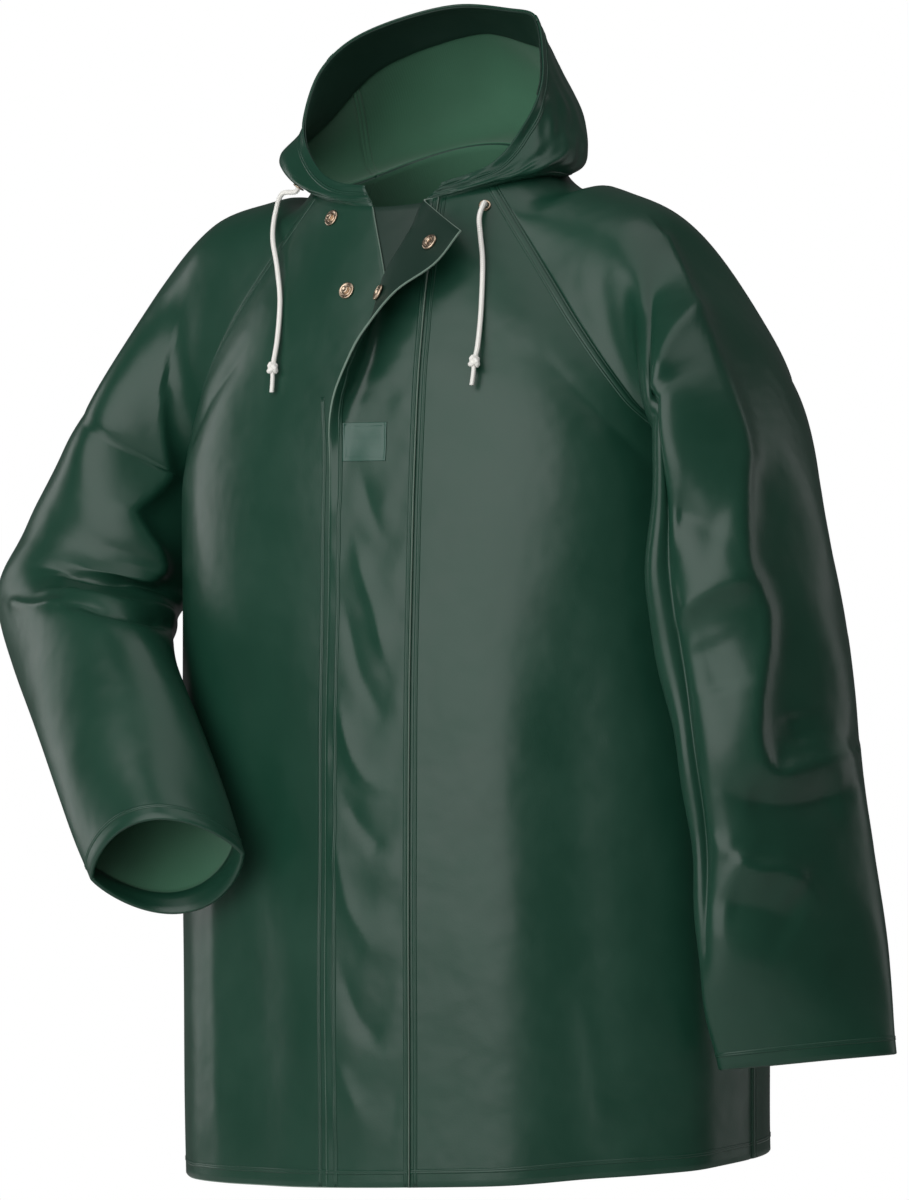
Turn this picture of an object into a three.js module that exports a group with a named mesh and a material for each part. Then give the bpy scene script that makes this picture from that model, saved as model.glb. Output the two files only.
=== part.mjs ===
// A hooded raincoat of coated cloth, as it stands when it is worn with nobody in it: raglan sleeves, the right
// one bent at the elbow, a storm flap turned open at the neck, and a hood pushed half back.
// Millimetres. +Z is up, the front faces -Y, and the wearer's left is +X. The origin is the middle of the neck
// opening, level with the tops of the shoulders that carry the coat.
import * as THREE from "three";

// Driving sizes
const CLOTH = 2.0; // coated cloth with its backing
const HEM_CLOTH = 3.6; // where an edge is turned in and lies double
const HEM_WIDTH = 15;
const SEAM_GAP = 0.4; // between pieces that are welded together along a seam
const ARMPIT_EASE = 1.1;
const LAYER_GAP = 0.4; // between pieces that lie on each other
const FLAP_WIDTH = 77;
const WELD_MARGIN = 10; // from the flap's weld to the left front's edge under it

const DEGREE = Math.PI / 180;

// Level loops of the coat's body, from the hem (0) over the armpits (4) to the neck seam (8).
// front, side and back are heights; tilt is the rise towards the wearer's left; square under 1 is boxier.
const BODY = [
  { level: 0, front: -819, side: -817, back: -812, tilt: 0.07, midX: 17, midY: 28, halfX: 261, halfY: 176, square: 0.92 },
  { level: 1, front: -656, side: -655, back: -652, tilt: 0.05, midX: 15, midY: 25, halfX: 260, halfY: 174, square: 0.92 },
  { level: 2, front: -504, side: -503, back: -498, tilt: 0.03, midX: 13, midY: 21, halfX: 257, halfY: 170, square: 0.91 },
  { level: 3, front: -364, side: -363, back: -356, tilt: 0.01, midX: 11, midY: 17, halfX: 252, halfY: 163, square: 0.88 },
  { level: 4, front: -252, side: -246, back: -240, tilt: 0, midX: 9, midY: 12, halfX: 243, halfY: 152, square: 0.79 },
  { level: 5, front: -188, side: -180, back: -160, tilt: 0, midX: 7, midY: 8, halfX: 226, halfY: 140, square: 0.79 },
  { level: 6, front: -132, side: -115, back: -85, tilt: 0, midX: 5, midY: 4, halfX: 198, halfY: 124, square: 0.82 },
  { level: 7, front: -76, side: -55, back: -16, tilt: 0, midX: 2, midY: 0, halfX: 156, halfY: 104, square: 0.88 },
  { level: 8, front: -20, side: 6, back: 46, tilt: 0, midX: 0, midY: -4, halfX: 112, halfY: 84, square: 1 },
];
const ARMPIT = 4;
const NECK = 8;

// Where the raglan seams cross those loops, in degrees from the middle of the front.
const RAGLAN = [
  { level: 4, frontLeft: 90, frontRight: 90, back: 90 },
  { level: 4.5, frontLeft: 75, frontRight: 81, back: 100 },
  { level: 5, frontLeft: 64, frontRight: 73, back: 107 },
  { level: 6, frontLeft: 55, frontRight: 64, back: 116 },
  { level: 7, frontLeft: 53, frontRight: 59, back: 122 },
  { level: 8, frontLeft: 51, frontRight: 54, back: 126 },
];

// The closure: weld is the x at which the storm flap is joined to the left front, free the x of the right
// front's free edge, which swings open above the chest.
const CLOSURE = [
  { level: 0, weld: 57, free: 42 },
  { level: 4, weld: 57, free: 42 },
  { level: 5, weld: 55, free: 36 },
  { level: 6, weld: 52, free: 25 },
  { level: 7, weld: 48, free: 7 },
  { level: 8, weld: 46, free: -14 },
];

// The sleeves' stations run from the neck (-4) over the armpit (0) to the cuff. under and over are the inner and
// outer points of a section, deep is its half width towards the front. Above the armpit the section is open and
// under is the middle between the two raglan seams.
const LEFT_SLEEVE = [
  { station: -4, underX: 90, underY: -2, underZ: 8, overX: 112, overY: 2, overZ: 6, deepX: 0, deepY: 0, deepZ: 0, round: 1 },
  { station: -3, underX: 134, underY: -5, underZ: -56, overX: 166, overY: 4, overZ: -8, deepX: 0, deepY: -5, deepZ: 0, round: 1 },
  { station: -2, underX: 182, underY: -3, underZ: -116, overX: 214, overY: 2, overZ: -30, deepX: 0, deepY: -12, deepZ: 0, round: 1 },
  { station: -1, underX: 223, underY: 1, underZ: -180, overX: 252, overY: -12, overZ: -80, deepX: -7, deepY: -32, deepZ: -2, round: 1.2 },
  { station: 0, underX: 252, underY: 12, underZ: -246, overX: 300, overY: -70, overZ: -156, deepX: -20, deepY: -82, deepZ: -10, round: 2 },
  { station: 1, underX: 260, underY: -46, underZ: -308, overX: 342, overY: -66, overZ: -262, deepX: -32, deepY: -80, deepZ: -4, round: 2 },
  { station: 2, underX: 268, underY: -44, underZ: -386, overX: 362, overY: -54, overZ: -370, deepX: -34, deepY: -80, deepZ: 0, round: 2 },
  { station: 3, underX: 284, underY: -44, underZ: -467, overX: 371, overY: -50, overZ: -457, deepX: -32, deepY: -80, deepZ: 0, round: 2 },
  { station: 4, underX: 299, underY: -42, underZ: -546, overX: 378, overY: -48, overZ: -536, deepX: -36, deepY: -74, deepZ: 0, round: 2 },
  { station: 5, underX: 312, underY: -36, underZ: -626, overX: 381, overY: -52, overZ: -618, deepX: -44, deepY: -70, deepZ: -2, round: 2 },
  { station: 6, underX: 334, underY: -23, underZ: -712, overX: 381, overY: -51, overZ: -704, deepX: -54, deepY: -46, deepZ: -5, round: 2 },
];
const RIGHT_SLEEVE = [
  { station: -4, underX: -90, underY: -2, underZ: 8, overX: -112, overY: 2, overZ: 6, deepX: 0, deepY: 0, deepZ: 0, round: 1 },
  { station: -3, underX: -134, underY: -5, underZ: -56, overX: -166, overY: 6, overZ: -1, deepX: 0, deepY: -4, deepZ: 0, round: 1 },
  { station: -2, underX: -182, underY: -3, underZ: -116, overX: -220, overY: 8, overZ: -17, deepX: 0, deepY: -8, deepZ: 0, round: 1 },
  { station: -1, underX: -223, underY: 1, underZ: -180, overX: -274, overY: 8, overZ: -66, deepX: 3, deepY: -16, deepZ: 0, round: 1.2 },
  { station: 0, underX: -234, underY: 12, underZ: -246, overX: -340, overY: 4, overZ: -176, deepX: 4, deepY: -72, deepZ: 0, round: 2 },
  { station: 1, underX: -246, underY: 2, underZ: -296, overX: -372, overY: -8, overZ: -226, deepX: 4, deepY: -76, deepZ: 2, round: 2 },
  { station: 2, underX: -256, underY: -10, underZ: -332, overX: -398, overY: -24, overZ: -282, deepX: 8, deepY: -72, deepZ: 10, round: 2 },
  { station: 3, underX: -256, underY: -36, underZ: -356, overX: -412, overY: -50, overZ: -344, deepX: 10, deepY: -62, deepZ: 26, round: 2 },
  { station: 4, underX: -199, underY: -108, underZ: -390, overX: -372, overY: -94, overZ: -404, deepX: 10, deepY: -46, deepZ: 38, round: 2 },
  { station: 5, underX: -142, underY: -140, underZ: -458, overX: -284, overY: -168, overZ: -484, deepX: 8, deepY: -36, deepZ: 36, round: 2 },
  { station: 6, underX: -84, underY: -172, underZ: -550, overX: -216, overY: -202, overZ: -574, deepX: 8, deepY: -40, deepZ: 41, round: 2 },
];
const CUFF = 6;

// The hood's front edge, from the wearer's right front corner over the top to the left one, and the handles
// that carry the cloth out of the neck seam and into that edge.
const HOOD = [
  { along: 0, rimX: -24, rimY: -83, rimZ: -2, neckX: 0, neckY: 0, neckZ: 6, backX: 0, backY: 0, backZ: -6 },
  { along: 0.06, rimX: -54, rimY: -76, rimZ: 3, neckX: -8, neckY: -6, neckZ: 8, backX: -4, backY: -2, backZ: -10 },
  { along: 0.12, rimX: -80, rimY: -64, rimZ: 16, neckX: -24, neckY: -8, neckZ: 14, backX: -26, backY: -2, backZ: -12 },
  { along: 0.2, rimX: -106, rimY: -47, rimZ: 44, neckX: -40, neckY: -10, neckZ: 28, backX: -36, backY: 2, backZ: -2 },
  { along: 0.28, rimX: -118, rimY: -26, rimZ: 72, neckX: -44, neckY: 14, neckZ: 20, backX: -26, backY: 28, backZ: -10 },
  { along: 0.34, rimX: -118, rimY: -2, rimZ: 108, neckX: -42, neckY: 48, neckZ: 8, backX: -14, backY: 56, backZ: -12 },
  { along: 0.4, rimX: -101, rimY: 21, rimZ: 136, neckX: -34, neckY: 70, neckZ: 4, backX: -10, backY: 66, backZ: -10 },
  { along: 0.46, rimX: -66, rimY: 44, rimZ: 155, neckX: -12, neckY: 86, neckZ: -2, backX: -4, backY: 72, backZ: -8 },
  { along: 0.52, rimX: -18, rimY: 59, rimZ: 165, neckX: 4, neckY: 92, neckZ: -6, backX: 0, backY: 72, backZ: -6 },
  { along: 0.58, rimX: 34, rimY: 57, rimZ: 158, neckX: 20, neckY: 84, neckZ: -4, backX: -4, backY: 56, backZ: -14 },
  { along: 0.63, rimX: 64, rimY: 50, rimZ: 149, neckX: 26, neckY: 66, neckZ: 0, backX: -8, backY: 36, backZ: -20 },
  { along: 0.7, rimX: 87, rimY: 22, rimZ: 113, neckX: 32, neckY: 40, neckZ: 6, backX: -2, backY: 40, backZ: -22 },
  { along: 0.78, rimX: 101, rimY: -8, rimZ: 77, neckX: 32, neckY: 10, neckZ: 10, backX: 4, backY: 34, backZ: -24 },
  { along: 0.86, rimX: 97, rimY: -34, rimZ: 42, neckX: 28, neckY: -2, neckZ: 10, backX: 10, backY: 14, backZ: -18 },
  { along: 0.93, rimX: 82, rimY: -58, rimZ: 13, neckX: 14, neckY: -4, neckZ: 8, backX: 8, backY: 2, backZ: -10 },
  { along: 1, rimX: 48, rimY: -80, rimZ: -3, neckX: 2, neckY: -2, neckZ: 6, backX: 0, backY: 0, backZ: -6 },
];
const HOOD_SEAMS = [10, 18]; // columns at which the hood's three panels meet

// How far the flap is turned open: from is the distance from its welded edge at which the turn begins, over is
// the length of the bend, turn its angle in degrees, and lean tips the line of the bend sideways.
const PEEL = [
  { level: 0, from: 60, over: 17, turn: 0, lean: 0 },
  { level: 3, from: 60, over: 17, turn: 0, lean: 0 },
  { level: 3.6, from: 60, over: 17, turn: 2, lean: 0.1 },
  { level: 4.2, from: 58, over: 17, turn: 16, lean: 0.15 },
  { level: 5, from: 50, over: 20, turn: 66, lean: 0.2 },
  { level: 5.6, from: 38, over: 20, turn: 92, lean: 0.25 },
  { level: 6.3, from: 30, over: 20, turn: 114, lean: 0.3 },
  { level: 7, from: 24, over: 18, turn: 140, lean: 0.3 },
  { level: 7.5, from: 10, over: 20, turn: 154, lean: 0.28 },
  { level: 8, from: 0, over: 20, turn: 154, lean: 0.25 },
];

// Soft upright waves in the body's cloth: at and spread in degrees, rise outwards, fading between two levels.
const WAVES = [
  { at: 24, spread: 8, rise: 4, low: 0, high: 3.6 },
  { at: 43, spread: 9, rise: -6, low: 0, high: 3.6 },
  { at: 68, spread: 8, rise: 5, low: 0, high: 3 },
  { at: -24, spread: 8, rise: -5, low: 0, high: 3.4 },
  { at: -46, spread: 9, rise: 4, low: 0, high: 3.6 },
  { at: 130, spread: 9, rise: 7, low: 0, high: 3.6 },
  { at: 158, spread: 9, rise: -7, low: 0, high: 3.6 },
  { at: 184, spread: 10, rise: 6, low: 0, high: 3.8 },
  { at: 212, spread: 9, rise: -6, low: 0, high: 3.6 },
  { at: 236, spread: 9, rise: 6, low: 0, high: 3.4 },
];

// Folds of the sleeves. Each runs through its places, given as station and turn (0 at the front seam, 1 at
// the back), with a half width and a rise outwards in millimetres.
const LEFT_FOLDS = [
  { places: [[-1.7, 0.42], [-1, 0.31], [-0.5, 0.24], [0.2, 0.2]], width: 20, rise: -12 },
  { places: [[-0.3, 0.29], [-0.4, 0.45], [-0.1, 0.485], [0.63, 0.485]], width: 15, rise: 9 },
  { places: [[0.6, 0.47], [0.85, 0.33]], width: 17, rise: -11 },
  { places: [[0.75, 0.48], [1.45, 0.41], [1.65, 0.385]], width: 15, rise: 8 },
  { places: [[1.7, 0.37], [1.35, 0.3]], width: 16, rise: -8 },
  { places: [[1.75, 0.44], [2.05, 0.43], [2.6, 0.4], [3, 0.385]], width: 15, rise: 8 },
  { places: [[2.3, 0.34], [2.9, 0.33]], width: 18, rise: -7 },
  { places: [[3, 0.385], [3.3, 0.42], [3.15, 0.57]], width: 14, rise: 8 },
  { places: [[3.5, 0.36], [3.65, 0.45], [3.5, 0.55]], width: 16, rise: -8 },
  { places: [[3.95, 0.33], [3.95, 0.41], [3.5, 0.57]], width: 14, rise: 7 },
  { places: [[4.05, 0.33], [4.25, 0.39], [4.45, 0.47]], width: 17, rise: -8 },
  { places: [[4.3, 0.27], [4.75, 0.33]], width: 16, rise: 6 },
  { places: [[0.4, 0.75], [1.2, 0.68], [1.8, 0.78]], width: 20, rise: -9 },
  { places: [[2.4, 0.72], [3, 0.8], [3.6, 0.72]], width: 20, rise: -8 },
];
const RIGHT_FOLDS = [
  { places: [[-1.1, 0.13], [-0.5, 0.15], [0.2, 0.145], [0.8, 0.165], [1.5, 0.08]], width: 16, rise: 9 },
  { places: [[0.2, 0.26], [1, 0.24], [1.7, 0.17]], width: 18, rise: -9 },
  { places: [[1.6, 0.08], [2.2, 0.13], [2.75, 0.19]], width: 14, rise: 8 },
  { places: [[1.6, 0.36], [2.3, 0.3], [2.7, 0.3]], width: 18, rise: -6 },
  { places: [[3.15, 0.38], [3.25, 0.3], [3.45, 0.2], [3.75, 0.05]], width: 12, rise: -11 },
  { places: [[3.5, 0.33], [3.6, 0.22]], width: 12, rise: 6 },
  { places: [[3.85, 0.27], [4, 0.14], [4.15, 0.05]], width: 12, rise: -7 },
  { places: [[0.4, 0.72], [1.2, 0.66], [2.2, 0.72]], width: 20, rise: -8 },
  { places: [[2.9, 0.62], [3.4, 0.72], [3.7, 0.86]], width: 18, rise: -8 },
];

// The free ends of the hood's drawcord, after they leave the eyelets, to the knot and on to the end of the tail.
const CORD_WIDTH = 4.8;
const DRAWCORD_RIGHT = [[-121, -57, -2], [-129, -54, -16], [-125, -65, -37], [-106, -88, -67],
  [-95, -101, -94], [-88, -116, -128], [-87, -125, -153], [-86, -128, -173]];
const DRAWCORD_LEFT = [[87, -86, -33], [89, -88, -47], [94, -93, -68], [100, -105, -101],
  [103, -113, -122], [105, -121, -142], [105, -126, -153], [105, -130, -172]];
const KNOT_RADIUS = 4.8;

const STATION_LENGTH = 80;
const SLEEVE_GIRTH = 460;

const SLEEVE_COLUMNS = 22;
const RAGLAN_ROWS = 12;
const ARM_ROWS = 18;
const BODY_ROWS = 10;
const HOOD_COLUMNS = 28;
const HOOD_ROWS = 9;
const FLAP_STEPS = [0, 10, 18, 27, 36, 45, 54, 62, 70, FLAP_WIDTH]; // from the weld to the free edge
const PLACKET_STEPS = [-16, 0, 10, 18, 36, 54, 70];

// Shared helpers

const point = (x, y, z) => new THREE.Vector3(x, y, z);
const mix = (a, b, t) => a + (b - a) * t;

function smooth(t) {
  const held = Math.min(Math.max(t, 0), 1);
  return held * held * (3 - 2 * held);
}

// Reads a table at any value of its key column, on a smooth curve through its rows.
function read(rows, key, at) {
  const last = rows.length - 1;
  const held = Math.min(Math.max(at, rows[0][key]), rows[last][key]);
  let i = 0;
  while (i < last - 1 && held > rows[i + 1][key]) i++;
  const span = rows[i + 1][key] - rows[i][key];
  const t = (held - rows[i][key]) / span;
  const found = {};
  for (const name of Object.keys(rows[0])) {
    const slope = (k) => {
      const before = rows[Math.max(k - 1, 0)];
      const after = rows[Math.min(k + 1, last)];
      return (after[name] - before[name]) / (after[key] - before[key]);
    };
    const start = rows[i][name];
    const end = rows[i + 1][name];
    const leave = slope(i) * span;
    const arrive = slope(i + 1) * span;
    found[name] = start + t * leave + t * t * (3 * (end - start) - 2 * leave - arrive)
      + t * t * t * (2 * (start - end) + leave + arrive);
  }
  return found;
}

// A point of the body at a level, degrees round from the middle of the front towards the wearer's left.
function bodyPoint(level, degrees) {
  const ring = read(BODY, "level", level);
  const s = Math.sin(degrees * DEGREE);
  const c = Math.cos(degrees * DEGREE);
  const x = ring.midX + ring.halfX * Math.sign(s) * Math.abs(s) ** ring.square;
  const y = ring.midY - ring.halfY * Math.sign(c) * Math.abs(c) ** ring.square;
  const end = c > 0 ? ring.front : ring.back;
  const p = point(x, y, mix(ring.side, end, c * c) + ring.tilt * x);
  const round = ((degrees % 360) + 360) % 360;
  for (const wave of WAVES) {
    const off = Math.abs(round - (wave.at + 360) % 360);
    const apart = Math.min(off, 360 - off) / wave.spread;
    if (apart > 3 || level >= wave.high) continue;
    const rise = wave.rise * Math.exp(-apart * apart) * smooth((wave.high - level) / 1.5);
    p.add(point(x - ring.midX, y - ring.midY, 0).normalize().multiplyScalar(rise));
  }
  return p;
}

// The degrees at which the front of the body reaches x.
function frontDegrees(level, x) {
  const ring = read(BODY, "level", level);
  const share = (x - ring.midX) / ring.halfX;
  return Math.sign(share) * Math.asin(Math.abs(share) ** (1 / ring.square)) / DEGREE;
}

// The outward normal of the body there.
function bodyNormal(level, degrees) {
  const across = bodyPoint(level, degrees + 0.5).sub(bodyPoint(level, degrees - 0.5));
  const low = Math.max(level - 0.05, 0);
  const high = Math.min(level + 0.05, NECK);
  const up = bodyPoint(high, degrees).sub(bodyPoint(low, degrees));
  return across.cross(up).normalize();
}

// Outward unit normals of a grid of points. From the row closedFrom on, a row's two ends meet.
function gridNormals(grid, closedFrom = Infinity) {
  const rows = grid.length;
  const columns = grid[0].length;
  return grid.map((row, r) => row.map((_, c) => {
    const closed = r >= closedFrom;
    let left = c - 1;
    let right = c + 1;
    if (left < 0) left = closed ? columns - 2 : 0;
    if (right > columns - 1) right = closed ? 1 : columns - 1;
    const across = row[right].clone().sub(row[left]);
    const up = grid[Math.min(r + 1, rows - 1)][c].clone().sub(grid[Math.max(r - 1, 0)][c]);
    return across.cross(up).normalize();
  }));
}

// A wall whose outer face is the grid. Its inner face lies below it, along the normals, by the cloth's
// thickness at each row.
function wall(grid, normals, thick, closedFrom = Infinity) {
  const rows = grid.length;
  const columns = grid[0].length;
  const places = [];
  for (const inside of [0, 1]) {
    grid.forEach((row, r) => row.forEach((p, c) => {
      const q = p.clone().addScaledVector(normals[r][c], -inside * thick(r, c));
      places.push(q.x, q.y, q.z);
    }));
  }
  const at = (r, c, inside) => {
    const column = r >= closedFrom && c === columns - 1 ? 0 : c;
    return inside * rows * columns + r * columns + column;
  };
  const faces = [];
  const quad = (a, b, c, d) => {
    if (a !== b && b !== c && a !== c) faces.push(a, b, c);
    if (a !== c && c !== d && a !== d) faces.push(a, c, d);
  };
  for (let r = 0; r < rows - 1; r++) {
    for (let c = 0; c < columns - 1; c++) {
      quad(at(r, c, 0), at(r, c + 1, 0), at(r + 1, c + 1, 0), at(r + 1, c, 0));
      quad(at(r, c, 1), at(r + 1, c, 1), at(r + 1, c + 1, 1), at(r, c + 1, 1));
    }
  }
  for (let c = 0; c < columns - 1; c++) {
    quad(at(0, c, 1), at(0, c + 1, 1), at(0, c + 1, 0), at(0, c, 0));
    quad(at(rows - 1, c, 0), at(rows - 1, c + 1, 0), at(rows - 1, c + 1, 1), at(rows - 1, c, 1));
  }
  for (let r = 0; r < Math.min(rows - 1, closedFrom); r++) {
    quad(at(r, 0, 0), at(r + 1, 0, 0), at(r + 1, 0, 1), at(r, 0, 1));
    quad(at(r, columns - 1, 1), at(r + 1, columns - 1, 1), at(r + 1, columns - 1, 0), at(r, columns - 1, 0));
  }
  const geometry = new THREE.BufferGeometry();
  geometry.setAttribute("position", new THREE.Float32BufferAttribute(places, 3));
  geometry.setIndex(faces);
  return geometry;
}

// Moves a node back from its seam, towards the node beside it, square to the normal and to the seam.
function pullBack(node, beside, normal, along, distance) {
  const away = beside.clone().sub(node);
  away.addScaledVector(normal, -away.dot(normal));
  away.addScaledVector(along, -away.dot(along)).normalize();
  node.addScaledVector(away, distance);
}

const near = (list, i) => list[Math.min(Math.max(i, 0), list.length - 1)];

const group = new THREE.Group();
group.name = "raincoat";

const cloth = new THREE.MeshStandardMaterial({ color: 0x1f3a2e, roughness: 0.32, metalness: 0 });
const facing = new THREE.MeshStandardMaterial({ color: 0x1a3228, roughness: 0.4, metalness: 0 });
const cord = new THREE.MeshStandardMaterial({ color: 0xe9e6de, roughness: 0.8, metalness: 0 });
const metal = new THREE.MeshStandardMaterial({ color: 0xb08a55, roughness: 0.3, metalness: 1 });
const badge = new THREE.MeshStandardMaterial({ color: 0x2a473a, roughness: 0.25, metalness: 0 });

function add(name, geometry, material) {
  const mesh = new THREE.Mesh(geometry, material);
  mesh.name = name;
  group.add(mesh);
}

// Body panels and sleeves

const raglanLevels = Array.from({ length: RAGLAN_ROWS + 1 }, (_, i) => mix(ARMPIT, NECK, i / RAGLAN_ROWS));
const hemLevel = HEM_WIDTH / 163;
const bodyLevels = [0, hemLevel, ...Array.from({ length: BODY_ROWS - 1 }, (_, i) => ARMPIT * (i + 1) / BODY_ROWS),
  ...raglanLevels];
const FIRST_RAGLAN_ROW = bodyLevels.length - raglanLevels.length;

function seamDegrees(side, name, level) {
  if (level <= ARMPIT) return side * 90;
  return side * read(RAGLAN, "level", level)[name];
}

// The columns of a front: the given x nearest the closure, then even steps to the side seam.
function frontRow(level, side, edgeX, xs, steps) {
  const degrees = [edgeX(level), ...xs].map((x) => frontDegrees(level, x));
  const name = side > 0 ? "frontLeft" : "frontRight";
  const seam = seamDegrees(side, name, level);
  const start = degrees[degrees.length - 1];
  for (let i = 1; i <= steps; i++) degrees.push(mix(start, seam, i / steps));
  if (side < 0) degrees.reverse();
  return degrees.map((d) => bodyPoint(level, d));
}

const closureAt = (level) => read(CLOSURE, "level", level);
const frontLeft = bodyLevels.map((level) => {
  const { weld } = closureAt(level);
  return frontRow(level, 1, () => weld - WELD_MARGIN, [weld, weld + 16], 9);
});
const frontRight = bodyLevels.map((level) => {
  const { weld, free } = closureAt(level);
  const under = [36, 54, 70].map((s, i) => Math.min(weld - s, free - 10 * (i + 1)));
  return frontRow(level, -1, () => free, under, 10);
});
const back = bodyLevels.map((level) => Array.from({ length: 19 }, (_, i) => {
  const from = seamDegrees(1, "back", level);
  const to = 360 + seamDegrees(-1, "back", level);
  return bodyPoint(level, mix(from, to, i / 18));
}));

// How far the folds lift a sleeve's cloth at a place. They fade out at the seams of the open part.
function foldRise(folds, station, turn) {
  let sum = 0;
  for (const fold of folds) {
    let nearest = Infinity;
    for (let i = 0; i < fold.places.length - 1; i++) {
      const [s0, t0] = fold.places[i];
      const [s1, t1] = fold.places[i + 1];
      const along = (s1 - s0) * STATION_LENGTH;
      const round = (t1 - t0) * SLEEVE_GIRTH;
      const fromAlong = (station - s0) * STATION_LENGTH;
      const fromRound = (turn - t0) * SLEEVE_GIRTH;
      const share = (fromAlong * along + fromRound * round) / (along * along + round * round);
      const held = Math.min(Math.max(share, 0), 1);
      nearest = Math.min(nearest, Math.hypot(fromAlong - held * along, fromRound - held * round));
    }
    sum += fold.rise * Math.exp(-((nearest / fold.width) ** 2));
  }
  const fromSeam = station < 0 ? Math.min(turn, 1 - turn) : 1;
  return sum * smooth(fromSeam / 0.12) * smooth((station + 2.4) / 0.8) * smooth((CUFF - station) / 0.5);
}

// Columns run so that the outward normal is theirs crossed with the rows from neck to cuff.
function sleeve(table, folds, side) {
  const stations = [...raglanLevels.map((l) => ARMPIT - l).reverse(),
    ...Array.from({ length: ARM_ROWS }, (_, i) => CUFF * (i + 1) / ARM_ROWS)];
  stations.splice(stations.length - 1, 0, CUFF - HEM_WIDTH / 90);
  const frontName = side > 0 ? "frontLeft" : "frontRight";
  const plain = stations.map((station) => {
    const row = read(table, "station", station);
    const level = ARMPIT - Math.min(station, 0);
    const frontAt = seamDegrees(side, frontName, level);
    const backAt = seamDegrees(side, "back", level);
    const front = bodyPoint(level, frontAt);
    const rear = bodyPoint(level, backAt);
    const over = point(row.overX, row.overY, row.overZ);
    const deep = point(row.deepX, row.deepY, row.deepZ);
    const open = station <= 0;
    const under = open ? front.clone().add(rear).multiplyScalar(0.5) : point(row.underX, row.underY, row.underZ);
    const half = front.clone().sub(rear).multiplyScalar(0.5);
    if (!open) half.set(0, 0, 0);
    const nearNeck = Math.min(Math.max((-3.3 - station) / 0.7, 0), 1);
    const toRing = nearNeck * nearNeck * (3 - 2 * nearNeck);
    return Array.from({ length: SLEEVE_COLUMNS + 1 }, (_, i) => {
      const turn = side > 0 ? 1 - i / SLEEVE_COLUMNS : i / SLEEVE_COLUMNS;
      const rise = Math.sin(Math.PI * turn) ** row.round;
      const pinched = (Math.sin(Math.PI * turn) * Math.SQRT2) ** smooth(1 - station / 1.5);
      const p = under.clone().addScaledVector(half, Math.cos(Math.PI * turn))
        .addScaledVector(over.clone().sub(under), rise)
        .addScaledVector(deep, Math.sin(2 * Math.PI * turn) * pinched);
      return p.lerp(bodyPoint(level, mix(frontAt, backAt, turn)), toRing);
    });
  });
  const normals = gridNormals(plain, RAGLAN_ROWS);
  return plain.map((row, r) => row.map((p, c) => {
    const turn = side > 0 ? 1 - c / SLEEVE_COLUMNS : c / SLEEVE_COLUMNS;
    const rise = foldRise(folds, stations[r], turn);
    return p.clone().addScaledVector(normals[r][c], rise);
  }));
}
const sleeveLeft = sleeve(LEFT_SLEEVE, LEFT_FOLDS, 1);
const sleeveRight = sleeve(RIGHT_SLEEVE, RIGHT_FOLDS, -1);

const pieces = {
  frontLeft: { grid: frontLeft, normals: gridNormals(frontLeft) },
  frontRight: { grid: frontRight, normals: gridNormals(frontRight) },
  back: { grid: back, normals: gridNormals(back) },
  sleeveLeft: { grid: sleeveLeft, normals: gridNormals(sleeveLeft, RAGLAN_ROWS) },
  sleeveRight: { grid: sleeveRight, normals: gridNormals(sleeveRight, RAGLAN_ROWS) },
};

// The nodes that lie on a raglan seam, row by row, as [piece, row, column, column beside it].
function raglanSeam(side, rear) {
  const front = side > 0 ? pieces.frontLeft : pieces.frontRight;
  const body = rear ? pieces.back : front;
  const arm = side > 0 ? pieces.sleeveLeft : pieces.sleeveRight;
  const width = body.grid[0].length;
  const atEnd = rear ? side < 0 : side > 0;
  const bodyColumn = atEnd ? width - 1 : 0;
  const bodyBeside = atEnd ? width - 2 : 1;
  const armAtEnd = (side > 0) !== rear;
  const armColumn = armAtEnd ? SLEEVE_COLUMNS : 0;
  const armBeside = armAtEnd ? SLEEVE_COLUMNS - 1 : 1;
  return raglanLevels.map((_, i) => [
    [body, FIRST_RAGLAN_ROW + i, bodyColumn, bodyBeside],
    [arm, RAGLAN_ROWS - i, armColumn, armBeside],
  ]);
}

function sideSeam(side) {
  const front = side > 0 ? pieces.frontLeft : pieces.frontRight;
  const frontColumn = side > 0 ? front.grid[0].length - 1 : 0;
  const frontBeside = side > 0 ? frontColumn - 1 : 1;
  const backColumn = side > 0 ? 0 : back[0].length - 1;
  const backBeside = side > 0 ? 1 : backColumn - 1;
  return bodyLevels.slice(0, FIRST_RAGLAN_ROW + 1).map((_, r) => [
    [front, r, frontColumn, frontBeside],
    [pieces.back, r, backColumn, backBeside],
  ]);
}

// Gives the nodes along a seam one shared normal, then moves the pieces apart, square to the seam, and a
// little further near the armpit, where three seams meet.
function joinSeam(nodes, armpit, first = 0) {
  const line = nodes.map(([[piece, r, c]]) => piece.grid[r][c].clone());
  nodes.forEach((pair, i) => {
    if (i < first) return;
    const shared = point(0, 0, 0);
    for (const [piece, r, c] of pair) shared.add(piece.normals[r][c]);
    shared.normalize();
    const along = near(line, i + 1).clone().sub(near(line, i - 1)).normalize();
    const more = ARMPIT_EASE * smooth(1 - Math.abs(i - armpit) / 3);
    for (const [piece, r, c, beside] of pair) {
      piece.normals[r][c] = shared.clone();
      pullBack(piece.grid[r][c], piece.grid[r][beside], shared, along, SEAM_GAP / 2 + more);
    }
  });
}
for (const side of [1, -1]) {
  joinSeam(sideSeam(side), FIRST_RAGLAN_ROW);
  joinSeam(raglanSeam(side, false), 0, 1);
  joinSeam(raglanSeam(side, true), 0, 1);
}
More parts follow.
